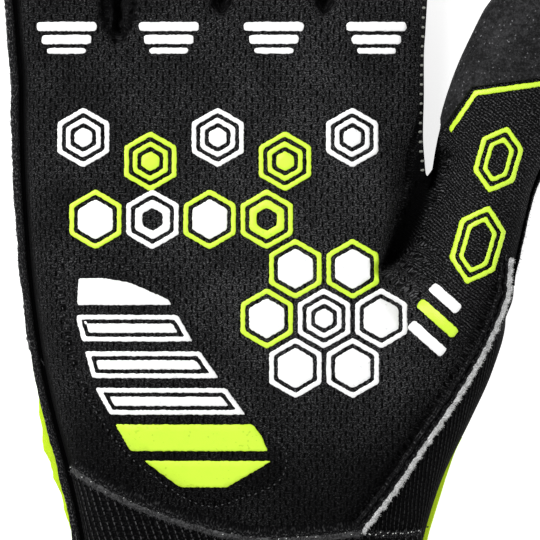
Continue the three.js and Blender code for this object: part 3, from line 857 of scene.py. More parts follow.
class Wire:  # a socket that can be used in sums
    def __init__(self, maker, socket):
        self.maker, self.socket = maker, socket

    def math(self, operation, *others):
        values = {i: value for i, value in enumerate((self, *others))}
        return self.maker.node("ShaderNodeMath", {"operation": operation}, values)

    def __add__(self, other):
        return self.math("ADD", other)

    def __sub__(self, other):
        return self.math("SUBTRACT", other)

    def __mul__(self, other):
        return self.math("MULTIPLY", other)

    def __truediv__(self, other):
        return self.math("DIVIDE", other)

    def __pow__(self, other):
        return self.math("POWER", other)

    def __rsub__(self, other):
        return (self * -1) + other

    __radd__ = __add__
    __rmul__ = __mul__

    def fract(self):
        return self.math("FRACT")

    def floor(self):
        return self.math("FLOOR")

    def abs(self):
        return self.math("ABSOLUTE")

    def sine(self, pitch):  # a wave from -1 to 1 every so many units
        return (self * (2 * math.pi / pitch)).math("SINE")

    def least(self, other):
        return self.math("MINIMUM", other)

    def most(self, other):
        return self.math("MAXIMUM", other)

    def ramp(self, low, high):  # 0 below low, 1 above high
        settings = {"interpolation_type": "SMOOTHSTEP"}
        return self.maker.node("ShaderNodeMapRange", settings, {0: self, 1: low, 2: high})

    def clamp(self):
        return self.most(0.0).least(1.0)


class Maker:  # builds one material's nodes
    def __init__(self, name):
        self.material = bpy.data.materials.new(name)
        self.material.use_nodes = True
        self.tree = self.material.node_tree
        self.tree.nodes.clear()

    def node(self, kind, settings=None, inputs=None, output=0):
        made = self.tree.nodes.new(kind)
        for key, value in (settings or {}).items():
            if key == "stops":
                while len(made.color_ramp.elements) < len(value):
                    made.color_ramp.elements.new(0.5)
                for element, (position, colour) in zip(made.color_ramp.elements, value):
                    element.position, element.color = position, (*colour, 1)
            else:
                setattr(made, key, value)
        for key, value in (inputs or {}).items():
            if isinstance(value, Wire):
                self.tree.links.new(value.socket, made.inputs[key])
            else:
                made.inputs[key].default_value = value
        return Wire(self, made.outputs[output])

    def cloth(self):  # the piece's own flat map, in millimetres
        uv = self.node("ShaderNodeUVMap", {"uv_map": "cloth"})
        split = lambda k: self.node("ShaderNodeSeparateXYZ", None, {0: uv}, k) * 1000
        return uv, split(0), split(1)

    def place(self):
        return self.node("ShaderNodeTexCoord", None, None, "Object")

    def noise(self, vector, size, detail=2.0, output=0):  # size in millimetres
        return self.node(
            "ShaderNodeTexNoise",
            {"noise_dimensions": "3D"},
            {"Vector": vector, "Scale": 1000 / size, "Detail": detail, "Roughness": 0.6},
            output,
        )

    def mix(self, amount, one, two):  # of two colours
        values = {"Factor": amount, "A": one, "B": two}
        made = self.tree.nodes.new("ShaderNodeMix")
        made.data_type = "RGBA"
        sockets = {"Factor": made.inputs[0], "A": made.inputs[6], "B": made.inputs[7]}
        for key, value in values.items():
            if isinstance(value, Wire):
                self.tree.links.new(value.socket, sockets[key])
            else:
                sockets[key].default_value = value if key == "Factor" else (*value, 1)
        return Wire(self, made.outputs[2])

    def vector(self, x, y):
        return self.node("ShaderNodeCombineXYZ", None, {0: x, 1: y})

    def finish(self, colour, roughness, height=None, depth=0.3, **fixed):
        shader = self.tree.nodes.new("ShaderNodeBsdfPrincipled")
        for key, value in (("Base Color", colour), ("Roughness", roughness)):
            if isinstance(value, Wire):
                self.tree.links.new(value.socket, shader.inputs[key])
            else:
                shader.inputs[key].default_value = (*value, 1) if key == "Base Color" else value
        for key, value in fixed.items():
            shader.inputs[key.replace("_", " ")].default_value = value
        if height is not None:
            bump = self.node("ShaderNodeBump", None, {"Height": height, "Distance": depth * mm, "Strength": 1.0})
            self.tree.links.new(bump.socket, shader.inputs["Normal"])
        output = self.tree.nodes.new("ShaderNodeOutputMaterial")
        self.tree.links.new(shader.outputs[0], output.inputs[0])
        return self.material


knitLook = {
    "dark": (0.0009, 0.0009, 0.001),
    "light": (0.115, 0.115, 0.119),
    "slitPitch": 2.95,
    "rowPitch": 1.73,
    "slitWidth": 0.3,
    "slitHeight": 0.72,
    "purl": 0.62,
    "course": 0.52,
}


def specks(m, u, v, size, low, high):  # short bright bits of thread
    return m.noise(m.vector(u * (mm * 0.6), v * mm), size, 1.5).ramp(low, high)


def meshKnit(name, thumbStripes):
    m = Maker(name)
    uv, u, v = m.cloth()
    look = knitLook
    u = u + (m.noise(uv, 11.0, 1.0) - 0.5) * 1.6 + (m.noise(uv, 1.9, 1.0) - 0.5) * 0.35
    v = v + (m.noise(uv, 9.0, 1.0) - 0.5) * 1.4
    row = (v / look["rowPitch"]).floor()
    cellX = ((u / look["slitPitch"] + row * 0.5).fract() - 0.5).abs() * look["slitPitch"]
    cellY = ((v / look["rowPitch"]).fract() - 0.5).abs() * look["rowPitch"]
    uneven = m.noise(uv, 2.3, 1.0) * 0.55 + 0.62
    slit = (1 - (cellX / uneven).ramp(look["slitWidth"] * 0.35, look["slitWidth"] * 1.2)) * (
        1 - (cellY / uneven).ramp(look["slitHeight"] * 0.75, look["slitHeight"] * 1.2)
    )
    lip = (1 - cellX.ramp(look["slitWidth"] * 2.0, look["slitWidth"] * 3.2)) - slit
    purl = u.sine(look["purl"]) * v.sine(look["course"]) * 0.5 + 0.5
    speck = specks(m, u, v, 0.3, 0.42, 0.8)
    fleck = m.noise(uv, 0.42, 0.0).ramp(0.66, 0.8)
    cloud = m.noise(uv, 16.0, 2.0)
    height = purl * 0.25 + speck * 0.3 - slit * 1.0 + lip * 0.1
    tone = (speck * (purl * 0.7 + 0.25) + fleck * 0.5 + 0.03) * (cloud * 1.7 + 0.05) * (1 - slit * 0.97) + lip * 0.04
    if thumbStripes:
        share = m.node("ShaderNodeAttribute", {"attribute_name": "thumbShare"}, None, "Fac")
        bent = (m.noise(uv, 2.2, 1.0) - 0.5) * 0.4
        line = (u * 0.62 + v * 0.78 + bent).sine(0.74).ramp(-0.8, 1.0)
        lineTone = ((line * 0.75 + 0.22) * (speck * 0.85 + 0.05) + fleck * 0.4) * 0.9
        height = height * (1 - share) + (line * 0.45 + speck * 0.3) * share
        # the 'open' attribute darkens or lightens the colour: painted shade in the crease, slots and seams, and painted
        # light over the middle
        tone = (tone * (1 - share) + lineTone * share) * m.node("ShaderNodeAttribute", {"attribute_name": "open"}, None, "Fac")
    colour = m.mix((tone.clamp() * 1.1) ** 1.35, look["dark"], look["light"])
    return m.finish(colour, 0.7, height, 0.4, Specular_IOR_Level=0.025)


def smoothKnit(name, dark, light, shaded=False):
    m = Maker(name)
    uv, u, v = m.cloth()
    purl = (u.sine(0.7) * v.sine(0.6)) * 0.5 + 0.5
    speck = specks(m, u, v, 0.34, 0.48, 0.8)
    cloud = m.noise(uv, 14.0, 2.0)
    tone = speck * (purl * 0.5 + 0.5) * (cloud + 0.5) + purl * 0.06
    if shaded:
        tone = tone * m.node("ShaderNodeAttribute", {"attribute_name": "open"}, None, "Fac")
    return m.finish(m.mix(tone.clamp(), dark, light), 0.75, purl * 0.4 + speck * 0.5, 0.22, Specular_IOR_Level=0.025)


def ribbed(name, turn, pitch, light):
    m = Maker(name)
    uv, u, v = m.cloth()
    c, s = math.cos(math.radians(turn)), math.sin(math.radians(turn))
    u = u + (m.noise(uv, 6.0, 1.0) - 0.5) * 0.7
    across, along = u * c + v * s, v * c - u * s
    row = (across / pitch).floor()
    rib = across.sine(pitch)
    along = along + (m.noise(uv, 2.5, 1.0) - 0.5) * 0.8
    dash = (((along / 1.3 + row * 0.37).fract() - 0.5).abs() * 1.3).ramp(0.55, 0.3)
    crest = rib.ramp(0.72, 1.0)
    grain = m.noise(uv, 0.3, 2.0)
    speck = specks(m, u, v, 0.4, 0.5, 0.75)
    patchy = m.noise(uv, 1.7, 1.0).ramp(0.36, 0.66)
    tone = crest * dash * (grain * 1.1 + 0.2) * (patchy * 0.75 + 0.25) + speck * 0.3 * (rib * 0.3 + 0.7)
    colour = m.mix(tone.clamp(), (0.0012, 0.0012, 0.0014), (light, light, light * 1.03))
    return m.finish(colour, 0.7, rib * 0.5 + crest * dash * 0.4 + speck * 0.25, 0.5, Specular_IOR_Level=0.025)


def suede(name):
    m = Maker(name)
    place = m.place()
    nap = m.noise(place, 0.5, 3.0)
    curl = m.noise(place, 0.7, 1.0)
    clump = m.noise(place, 1.3, 2.0)
    cloud = m.noise(place, 8.0, 3.0)
    fleck = m.noise(place, 0.5, 0.0).ramp(0.76, 0.82)
    tone = nap.ramp(0.3, 0.75) * 0.55 + curl.ramp(0.55, 0.75) * 0.3 + (clump - 0.5) * 1.2 + (cloud - 0.5) * 0.9
    colour = m.mix(tone.clamp(), (0.005, 0.005, 0.0053), (0.043, 0.043, 0.045))
    colour = m.mix(fleck, colour, (0.14, 0.14, 0.145))
    return m.finish(colour, 0.7, nap * 0.6 + clump * 0.5, 0.2, Sheen_Weight=0.08, Sheen_Roughness=0.35, Specular_IOR_Level=0.1)


def silicone(name, base, shade):
    m = Maker(name)
    place = m.place()
    split = lambda k: m.node("ShaderNodeSeparateXYZ", None, {0: place}, k) * 1000
    x, y = split(0), split(1)
    purl = x.sine(0.62) * y.sine(0.52)
    grain = m.noise(place, 0.5, 2.0)
    cloud = m.noise(place, 5.0, 2.0)
    pit = m.noise(place, 0.9, 0.0).ramp(0.74, 0.8)
    tone = ((cloud - 0.5) * 0.5 + (grain - 0.5) * 0.35 + pit * 0.5).clamp()
    return m.finish(m.mix(tone, base, shade), 0.42, purl * 0.12 + grain * 0.5, 0.12)


def rawFoam(name, dark, light, coarse=0.35):
    m = Maker(name)
    place = m.place()
    fibre = m.noise(place, coarse, 3.0)
    patch = m.noise(place, coarse * 4.3, 2.0)
    tone = (fibre.ramp(0.38, 0.66) * 0.8 + (patch - 0.5) * 1.3 + 0.1).clamp()
    return m.finish(m.mix(tone, dark, light), 0.95, fibre, 0.3)


def plain(name, colour, roughness, gloss=0.5):
    m = Maker(name)
    grain = m.noise(m.place(), 0.25, 2.0)
    shade = tuple(c * 0.55 for c in colour)
    return m.finish(m.mix(grain, shade, colour), roughness, grain, 0.08, Specular_IOR_Level=gloss)


looks = {
    "palmKnit": meshKnit("palmKnit", True),
    "backFabric": smoothKnit("backFabric", (0.0018, 0.0018, 0.002), (0.06, 0.06, 0.062)),
    # shaded by the 'open' attribute: painted shade in the seams' channels and grooves
    "edgeFabric": smoothKnit("edgeFabric", (0.001, 0.001, 0.0012), (0.17, 0.17, 0.175), True),
    # shaded by the 'open' attribute: painted shade in the crease
    "sideFabric": smoothKnit("sideFabric", (0.0012, 0.0012, 0.0014), (0.06, 0.06, 0.062), True),
    "hemKnit": smoothKnit("hemKnit", (0.0018, 0.0018, 0.002), (0.06, 0.06, 0.062)),
    "yellowFabric": smoothKnit("yellowFabric", (0.5, 0.74, 0.02), (0.78, 0.98, 0.08)),
    "cuffRibs": ribbed("cuffRibs", 18, 1.75, 0.095),
    "gussetRibs": ribbed("gussetRibs", -4, 1.05, 0.06),
    "suede": suede("suede"),
    "whiteSilicone": silicone("whiteSilicone", (0.88, 0.88, 0.88), (0.6, 0.61, 0.63)),
    "yellowSilicone": silicone("yellowSilicone", (0.58, 0.85, 0.035), (0.36, 0.58, 0.008)),
    "rawFoam": rawFoam("rawFoam", (0.3, 0.3, 0.305), (0.96, 0.96, 0.96)),
    "greyFoam": rawFoam("greyFoam", (0.003, 0.003, 0.0035), (0.12, 0.12, 0.124)),
    "seamFoam": rawFoam("seamFoam", (0.0015, 0.0015, 0.0018), (0.075, 0.075, 0.077), 0.7),
    "blackThread": plain("blackThread", (0.011, 0.011, 0.012), 0.5),
    # thread painted as dark as deep shade, for stitches sunk in the seams' grooves and the crease
    "shadedThread": plain("shadedThread", (0.0016, 0.0016, 0.0018), 0.8, 0.02),
    "tickThread": plain("tickThread", (0.3, 0.31, 0.27), 0.7),
    "greyThread": plain("greyThread", (0.11, 0.11, 0.114), 0.7, 0.2),
    "paleThread": plain("paleThread", (0.75, 0.76, 0.74), 0.6),
}
print("materials:", len(looks))


def dress(obj, look):
    obj.data.materials.clear()
    obj.data.materials.append(looks[look])
    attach(obj, "root")
    return obj


panelLooks = {
    "palm_panel": ("palmKnit", "palm_knit"),
    "wrist_gusset": ("gussetRibs", "ribbed_knit"),
    "cuff_front": ("cuffRibs", "ribbed_knit"),
    "back_wrist_panel": ("yellowFabric", "yellow_fabric"),
    "thumb_back_panel": ("backFabric", "back_fabric"),
    "back_panel": ("backFabric", "back_fabric"),
    "index_side_strip": ("sideFabric", "back_fabric"),
}
for name, obj in panels.items():
    look, slot = panelLooks.get(name, ("backFabric", "back_fabric"))
    obj.name = "fitted_" + name
    dress(obj, look)
    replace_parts(obj, name)
print("panels dressed")


# sewn edges that stand out of the side seams

edges = {
    "reach": 3.0,
    "layer": 1.15,
    "tuck": 1.6,
    "wobble": 0.22,
    "spacing": 0.8,
}


def fingerOutline(finger, leftBack, rightBack):  # round a fingertip, from so far back on either side
    root, forward, reach, half = fingerFrame(finger)
    right = np.array([forward[1], -forward[0]])
    shares = [row[0] for row in fingerRows]
    widths = [row[1] for row in fingerRows]
    start = shares[-1] * reach
    side = lambda along: half * between(shares, widths, min(along / reach, shares[-1]))
    points = [root + forward * a - right * side(a) for a in np.arange(reach - leftBack, start, 1.5)]
    tip = np.radians(np.arange(0, 90, 6))
    dome = [(start + (reach - start) * math.sin(t), widths[-1] * half * math.cos(t) ** 0.8) for t in tip]
    points += [root + forward * a - right * w for a, w in dome]
    points += [root + forward * reach]
    points += [root + forward * a + right * w for a, w in reversed(dome)]
    points += [root + forward * a + right * side(a) for a in np.arange(start, reach - rightBack, -1.5)]
    return np.array(points)


def thumbOutline(firstShare):  # up the thumb's outer side and over its tip
    widths = [row[2] for row in thumbRows]
    points = []
    for share in np.linspace(lastThumbShare, firstShare, 34):
        f = thumbForward(min(share, lastThumbShare - 0.011))
        half = between(column(thumbRows, 0), widths, share) * hand["thumbWidth"] / 2
        points.append(thumbCentre(share) + np.array([f[1], -f[0]]) * half)
    points.reverse()
    f = thumbForward(lastThumbShare - 0.011)
    right = np.array([f[1], -f[0]])
    half = widths[-1] * hand["thumbWidth"] / 2
    tip = (1 - lastThumbShare) * hand["thumbLength"]
    for t in np.radians(np.arange(6, 90, 6)):
        points.append(thumbCentre(lastThumbShare) + f * tip * math.sin(t) + right * half * math.cos(t) ** 0.8)
    for t in np.radians(np.arange(90, 20, -6)):
        points.append(thumbCentre(lastThumbShare) + f * tip * math.sin(t) - right * half * math.cos(t) ** 0.8)
    return np.array(points)


def soften(path, rounds):
    path = path.copy()
    for _ in range(rounds):
        path[1:-1] = (path[:-2] + 2 * path[1:-1] + path[2:]) / 4
    return path


palmSides = [[row[k] for row in palmRows] for k in (1, 2)]
palmYs = [yAt(row[0]) for row in palmRows]
leftSide = np.array(
    [(-between(palmYs, palmSides[0], y) * halfPalm, y) for y in np.arange(hemStart + 0.3, 46, 2.0)]
)
littleReach = fingerFrame("little")[2]
sidePaths = {
    "little_side": np.vstack([leftSide, fingerOutline("little", littleReach - 4, stripEnd)]),
    "ring_tip": fingerOutline("ring", stripEnd, stripEnd),
    "middle_tip": fingerOutline("middle", stripEnd, stripEnd),
    "index_tip": fingerOutline("index", stripEnd, stripEnd),
    "thumb_side": thumbOutline(0.2)[::-1],
}
sidePaths["thumb_side"][:, 0] = slimmed(*sidePaths["thumb_side"].T)
sidePaths = {name: resampled(soften(resampled(path, 1.5), 4), edges["spacing"]) for name, path in sidePaths.items()}


# where the palm's cloth turns to the thumb's stripes, and the painted shade and light in its colour

# painted shade and light on the palm: lighter over the middle, darker towards the foot, in the crease and towards the
# gusset's seam
paintedShading = {"middle": 0.6, "foot": 0.38, "shade": 9.0, "seamShade": 0.45}


def setShares(mesh, name, values):
    share = mesh.attributes.new(name, "FLOAT", "POINT")
    share.data.foreach_set("value", np.clip(values, 0, 2))


palmMesh = panels["palm_panel"].data
co = coordinates(palmMesh)
d, s, side = pathDistance(co[:, :2], curveThrough(folds["crease"], 1.0))
diagonal = (co[:, 0] - 38) + (co[:, 1] + 2) * 0.75  # past the crease's end
thumbShare = smoothStep(-1.5, 1.5, d * side) * (co[:, 1] > 0) + smoothStep(6.0, 14.0, diagonal) * (co[:, 1] <= 0)
setShares(palmMesh, "thumbShare", thumbShare * smoothStep(34.0, 40.0, co[:, 0]) * (co[:, 1] < 76))
# painted shade in the crease, darkest where it presses deepest
lit = 1 - 0.93 * smoothStep(1.4, paintedShading["shade"], creaseAt(co[:, :2])[0])
# painted shade in and round the slots between the fingers
inside, rim, slit, _ = slots(co[:, 0], co[:, 1])
lit *= (1 - 0.5 * inside) * (1 - 0.85 * rim) * (1 - 0.9 * slit)
# painted shade in the groove beside the little finger's side seam
d, _, _ = pathDistance(co[:, :2], sidePaths["little_side"])
lit *= 0.15 + 0.85 * smoothStep(0.3, 1.7, d)
# painted light, lighter from the little finger's side towards the middle and thumb side, less towards the fingers
lit *= 1 + paintedShading["middle"] * smoothStep(-40.0, 20.0, co[:, 0]) * (1 - 0.4 * smoothStep(20.0, 60.0, co[:, 1]))
# painted shadow towards the gusset's seam
d, _, _ = pathDistance(co[:, :2], np.array(gussetSeam))
lit *= 1 - paintedShading["seamShade"] * (1 - smoothStep(0.0, 16.0, d)) * (co[:, 0] > 20)
# painted shade, darker towards the palm's foot at the wrist
lit *= paintedShading["foot"] + (1 - paintedShading["foot"]) * smoothStep(-52.0, -18.0, co[:, 1])
# the 'open' attribute carries this painted shade and light into the palm knit's colour
setShares(palmMesh, "open", lit)
# painted shade on the index finger's side strip where the crease presses in
strip = panels["index_side_strip"].data
setShares(strip, "open", 1 - 0.85 * smoothStep(1.0, 7.0, creaseAt(coordinates(strip)[:, :2])[0]))


def sweep(name, path, profile, heightAt, reachAt=None, shades=None):
    n = len(profile)
    step = np.gradient(path, axis=0)
    step /= np.linalg.norm(step, axis=1)[:, None]
    out = np.stack([-step[:, 1], step[:, 0]], 1)  # to the left of the way along
    verts, faces, uvs = [], [], []
    s = 0.0
    for i, (p, o) in enumerate(zip(path, out)):
        if i:
            s += np.linalg.norm(path[i] - path[i - 1])
        grow = reachAt(i, s) if reachAt else 1.0
        z = heightAt(p[0], p[1])
        for across, up in profile:
            reach = across * (grow if across > 0 else 1)
            verts.append((p[0] + o[0] * reach, p[1] + o[1] * reach, z + up))
            uvs.append((s * mm, (reach + up) * mm))
    for i in range(len(path) - 1):
        for k in range(n):
            a, b = i * n + k, i * n + (k + 1) % n
            faces.append((a, b, b + n, a + n))
    faces.append(tuple(reversed(range(n))))
    faces.append(tuple(range(len(verts) - n, len(verts))))
    obj = meshObject(name, verts, faces)
    layer = obj.data.uv_layers.new(name="cloth")
    for loop in obj.data.loops:
        layer.data[loop.index].uv = uvs[loop.vertex_index]
    faceOutwards(obj.data)
    openness(obj, shades, n, len(path))
    shadeSmooth(obj, 50)
    return obj


def openness(obj, shades, n, rings):  # how open to the light each strip of a profile is
    share = obj.data.attributes.new("open", "FLOAT", "POINT")
    share.data.foreach_set("value", (list(shades) if shades else [1.0] * n) * rings)


def wobbly(seed, amount, pitch=5.0):
    rng = random.Random(seed)
    waves = [(rng.uniform(0.5, 1.6) * pitch, rng.uniform(0, 6.3)) for _ in range(5)]

    def value(s):
        return amount * sum(math.sin(2 * math.pi * s / w + p) for w, p in waves) / 2.2

    return value


seamRise = wobbly(40, 0.14, 14.0)


def edgeHeight(x, y):
    return seamZ(x, y) + seamRise(x + y * 1.3)


def seamLayer(upward, reach):  # one layer of cloth, standing out of the seam: (across, up, open), where open is painted shade, darkest in the channel by the seam, and lighter on the fuzzy worn rim
    r, t, k = reach, edges["layer"], edges["tuck"]
    if not upward:
        return [(-k, -0.06, 0.3), (r - 0.25, -0.06, 0.3), (r - 0.05, -0.22, 1), (r, -t * 0.55, 1), (r - 0.2, -t * 0.9, 1), (r - 0.6, -t, 1), (0.4, -t, 1), (-k, -t - 0.3, 1)]
    return [
        (-k, 0.06, 0), (r - 0.25, 0.06, 0.3), (r - 0.05, 0.22, 1.6), (r, t * 0.55, 1.7), (r - 0.15, t * 0.95, 1.5),
        (r - 0.6, t * 1.12, 1), (r - 1.3, t * 1.15, 0.9), (1.1, t * 0.95, 0.5), (0.85, t * 0.45, 0.05), (0.5, t * 0.12, 0.0),
        (-0.1, t * 0.12, 0.0), (-0.55, t * 0.5, 0.05), (-0.95, t + 0.6, 0.4), (-k, t + 0.9, 1),
    ]


def tapered(path, first, last):  # from nothing at the ends up to a full reach
    total = len(path) * edges["spacing"]

    def value(s):
        start = smoothStep(0.0, first, s) if first else 1.0
        return max(0.12, float(start * (smoothStep(0.0, last, total - s) if last else 1.0)))

    return value


def edgeLayer(name, path, upward, look, reach, seed, ends=(7.0, 7.0), reachAt=None):
    sway, rag = wobbly(seed + 20, 0.05, 12.0), wobbly(seed + 60, 0.018, 0.8)
    taper = tapered(path, *ends)
    rows = seamLayer(upward, reach)
    grow = lambda i, s: (1 + sway(s) + rag(s)) * taper(s) * (reachAt(path[i]) if reachAt else 1.0)
    obj = sweep(name, path, [row[:2] for row in rows], edgeHeight, grow, [row[2] for row in rows])
    return dress(obj, look)


wristTop = -24.0
little = sidePaths["little_side"]
gussetSide = np.array([(between(palmYs, palmSides[1], y) * halfPalm, y) for y in np.arange(-42.0, hemStart + 0.3, -2.0)])
gussetSide = resampled(soften(gussetSide, 3), edges["spacing"])
for index, (name, path) in enumerate(sidePaths.items()):
    ends = {"little_side": (0, 13.0), "thumb_side": (7.0, 9.0)}.get(name, (13.0, 13.0))
    reach = edges["reach"] * (0.7 if "tip" in name else 1.0)
    slim = (lambda p: 0.3 + 0.7 * float(smoothStep(16.0, 44.0, p[1]))) if name == "thumb_side" else None
    edgeLayer("seam_edge_front_" + name, path, True, "edgeFabric", reach, index, ends, slim)
    behind = path[path[:, 1] > wristTop] if name == "little_side" else path
    ends = (4.0, 13.0) if name == "little_side" else ends
    edgeLayer("seam_edge_back_" + name, behind, False, "edgeFabric", reach * 0.96, index, ends, slim)
    r, taper = reach, tapered(behind, *ends)
    core = [(r - 1.4, -0.3), (r - 0.05, -0.34), (r + 0.12, 0.0), (r - 0.1, 0.3), (r - 1.4, 0.3)]
    rag, sway = wobbly(index + 60, 0.055, 0.9), wobbly(index + 20, 0.05, 12.0)
    fullness = lambda i: slim(behind[i]) if slim else 1.0
    foam = sweep("raw_edge_" + name, behind, core, edgeHeight, lambda i, s: (1 + sway(s) + rag(s)) * taper(s) * fullness(i))
    dress(foam, "greyFoam")
wristPath = little[little[:, 1] <= wristTop]
bulge = lambda p: 0.56 + 0.44 * float(smoothStep(wristTop - 2, -42.0, p[1]) * smoothStep(-74.0, -42.0, p[1]))
edgeLayer("seam_edge_wrist_little_side", wristPath, False, "yellowFabric", 4.7, 31, (0, 3.0), bulge)
edgeLayer("seam_edge_wrist_thumb_side", gussetSide, False, "yellowFabric", 1.1, 33, (16.0, 0))
print("sewn edges:", len(sidePaths))


# the cuff's turned hem and the suede over the thumb's tip

hem = skin("hem", 1.0, 1.4, 5)
clothMap(hem)
carve(hem, hollow, "DIFFERENCE")
carve(hem, below(hemStart), "INTERSECT")
mainBody(hem)
shadeSmooth(hem)
dress(hem, "hemKnit")
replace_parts(hem, "cuff_hem")

patchCut = {
    "lines": [((56.2, 36.2), (62.4, 45.4)), ((62.4, 45.4), (84.0, 48.4))],
    "lowest": 18.4,
    "lift": 0.12,
    "thickness": 0.8,
}


def suedePatch(source):
    mesh = source.data.copy()
    obj = bpy.data.objects.new("suede_thumb_tip", mesh)
    bpy.context.scene.collection.objects.link(obj)
    bm = bmesh.new()
    bm.from_mesh(mesh)
    away = [f for f in bm.faces if f.calc_center_median().x < 53.6 * mm or f.calc_center_median().y < 30 * mm or f.calc_center_median().y > 84 * mm]
    bmesh.ops.delete(bm, geom=away, context="FACES")
    cuts = [(Vector((0, 0, patchCut["lowest"])), Vector((0, 0, 1)))]
    for a, b in patchCut["lines"]:
        cuts.append((Vector((*a, 0)), Vector((a[1] - b[1], b[0] - a[0], 0)).normalized()))
    for point, normal in cuts:
        geom = bm.verts[:] + bm.edges[:] + bm.faces[:]
        bmesh.ops.bisect_plane(bm, geom=geom, dist=1e-7, plane_co=point * mm, plane_no=normal)
    outside = []
    for f in bm.faces:
        c = f.calc_center_median() / mm
        above = [(c - point).dot(normal) > 0 for point, normal in cuts]
        if not (above[0] and (above[1] or above[2])):
            outside.append(f)
    bmesh.ops.delete(bm, geom=outside, context="FACES")
    for v in bm.verts:
        v.co += v.normal * patchCut["lift"] * mm
    bm.to_mesh(mesh)
    bm.free()
    thick = obj.modifiers.new("thick", "SOLIDIFY")
    thick.thickness, thick.offset = patchCut["thickness"] * mm, 1.0
    applied(obj)
    shadeSmooth(obj, 50)
    return obj


patch = suedePatch(plainSkin)
dress(patch, "suede")
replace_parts(patch, "thumb_tip_patch")
discard(plainSkin)
print("hem and suede:", len(hem.data.polygons), len(patch.data.polygons))


# raised silicone print: plain hexagons, bars and pills

grip = {
    "rise": 0.42,
    "sink": 0.18,
    "bevel": 0.2,
    "line": 1.15,
    "space": 1.0,
    "ragged": 0.09,
    "step": 0.5,
    "grid": 1.3,
}


def hexagon(centre, flats, turn=0.0, stretch=1.0):
    c, s = math.cos(math.radians(turn)), math.sin(math.radians(turn))
    corners = []
    for k in range(6):
        angle = math.radians(30 + 60 * k)
        across = flats / math.sqrt(3) * math.cos(angle)
        along = flats / math.sqrt(3) * math.sin(angle) * stretch
        corners.append((centre[0] + across * c - along * s, centre[1] + across * s + along * c))
    return np.array(corners)


def inset(corners, amount):  # a polygon drawn in from each of its straight sides
    corners = np.asarray(corners, float)
    area = np.sum(corners[:, 0] * np.roll(corners[:, 1], -1) - corners[:, 1] * np.roll(corners[:, 0], -1))
    sign = 1 if area > 0 else -1
    n = len(corners)
    result = []
    for i in range(n):
        a, b, c = corners[i - 1], corners[i], corners[(i + 1) % n]
        d1, d2 = (b - a) / np.linalg.norm(b - a), (c - b) / np.linalg.norm(c - b)
        n1, n2 = np.array([-d1[1], d1[0]]) * sign, np.array([-d2[1], d2[0]]) * sign
        bend = n1 + n2
        bend /= np.linalg.norm(bend)
        result.append(b + bend * amount / max(0.35, bend @ n1))
    return np.array(result)


def rounded(corners, radius, step):  # an even loop with eased corners
    n = len(corners)
    loop = []
    for i in range(n):
        a, b, c = corners[i - 1], corners[i], corners[(i + 1) % n]
        r1 = min(radius, np.linalg.norm(a - b) * 0.45)
        r2 = min(radius, np.linalg.norm(c - b) * 0.45)
        p = b + (a - b) / np.linalg.norm(a - b) * r1
        q = b + (c - b) / np.linalg.norm(c - b) * r2
        for t in (0, 0.33, 0.67, 1):
            loop.append((1 - t) ** 2 * p + 2 * t * (1 - t) * b + t**2 * q)
    loop = np.array(loop + loop[:1])
    return resampled(loop, step)[:-1]


def pill(centre, width, height, turn=0.0):
    c, s = math.cos(math.radians(turn)), math.sin(math.radians(turn))
    w, h = width / 2, height / 2
    return np.array([(centre[0] + x * c - y * s, centre[1] + x * s + y * c) for x, y in ((-w, -h), (w, -h), (w, h), (-w, h))])


gripRandom = random.Random(47)


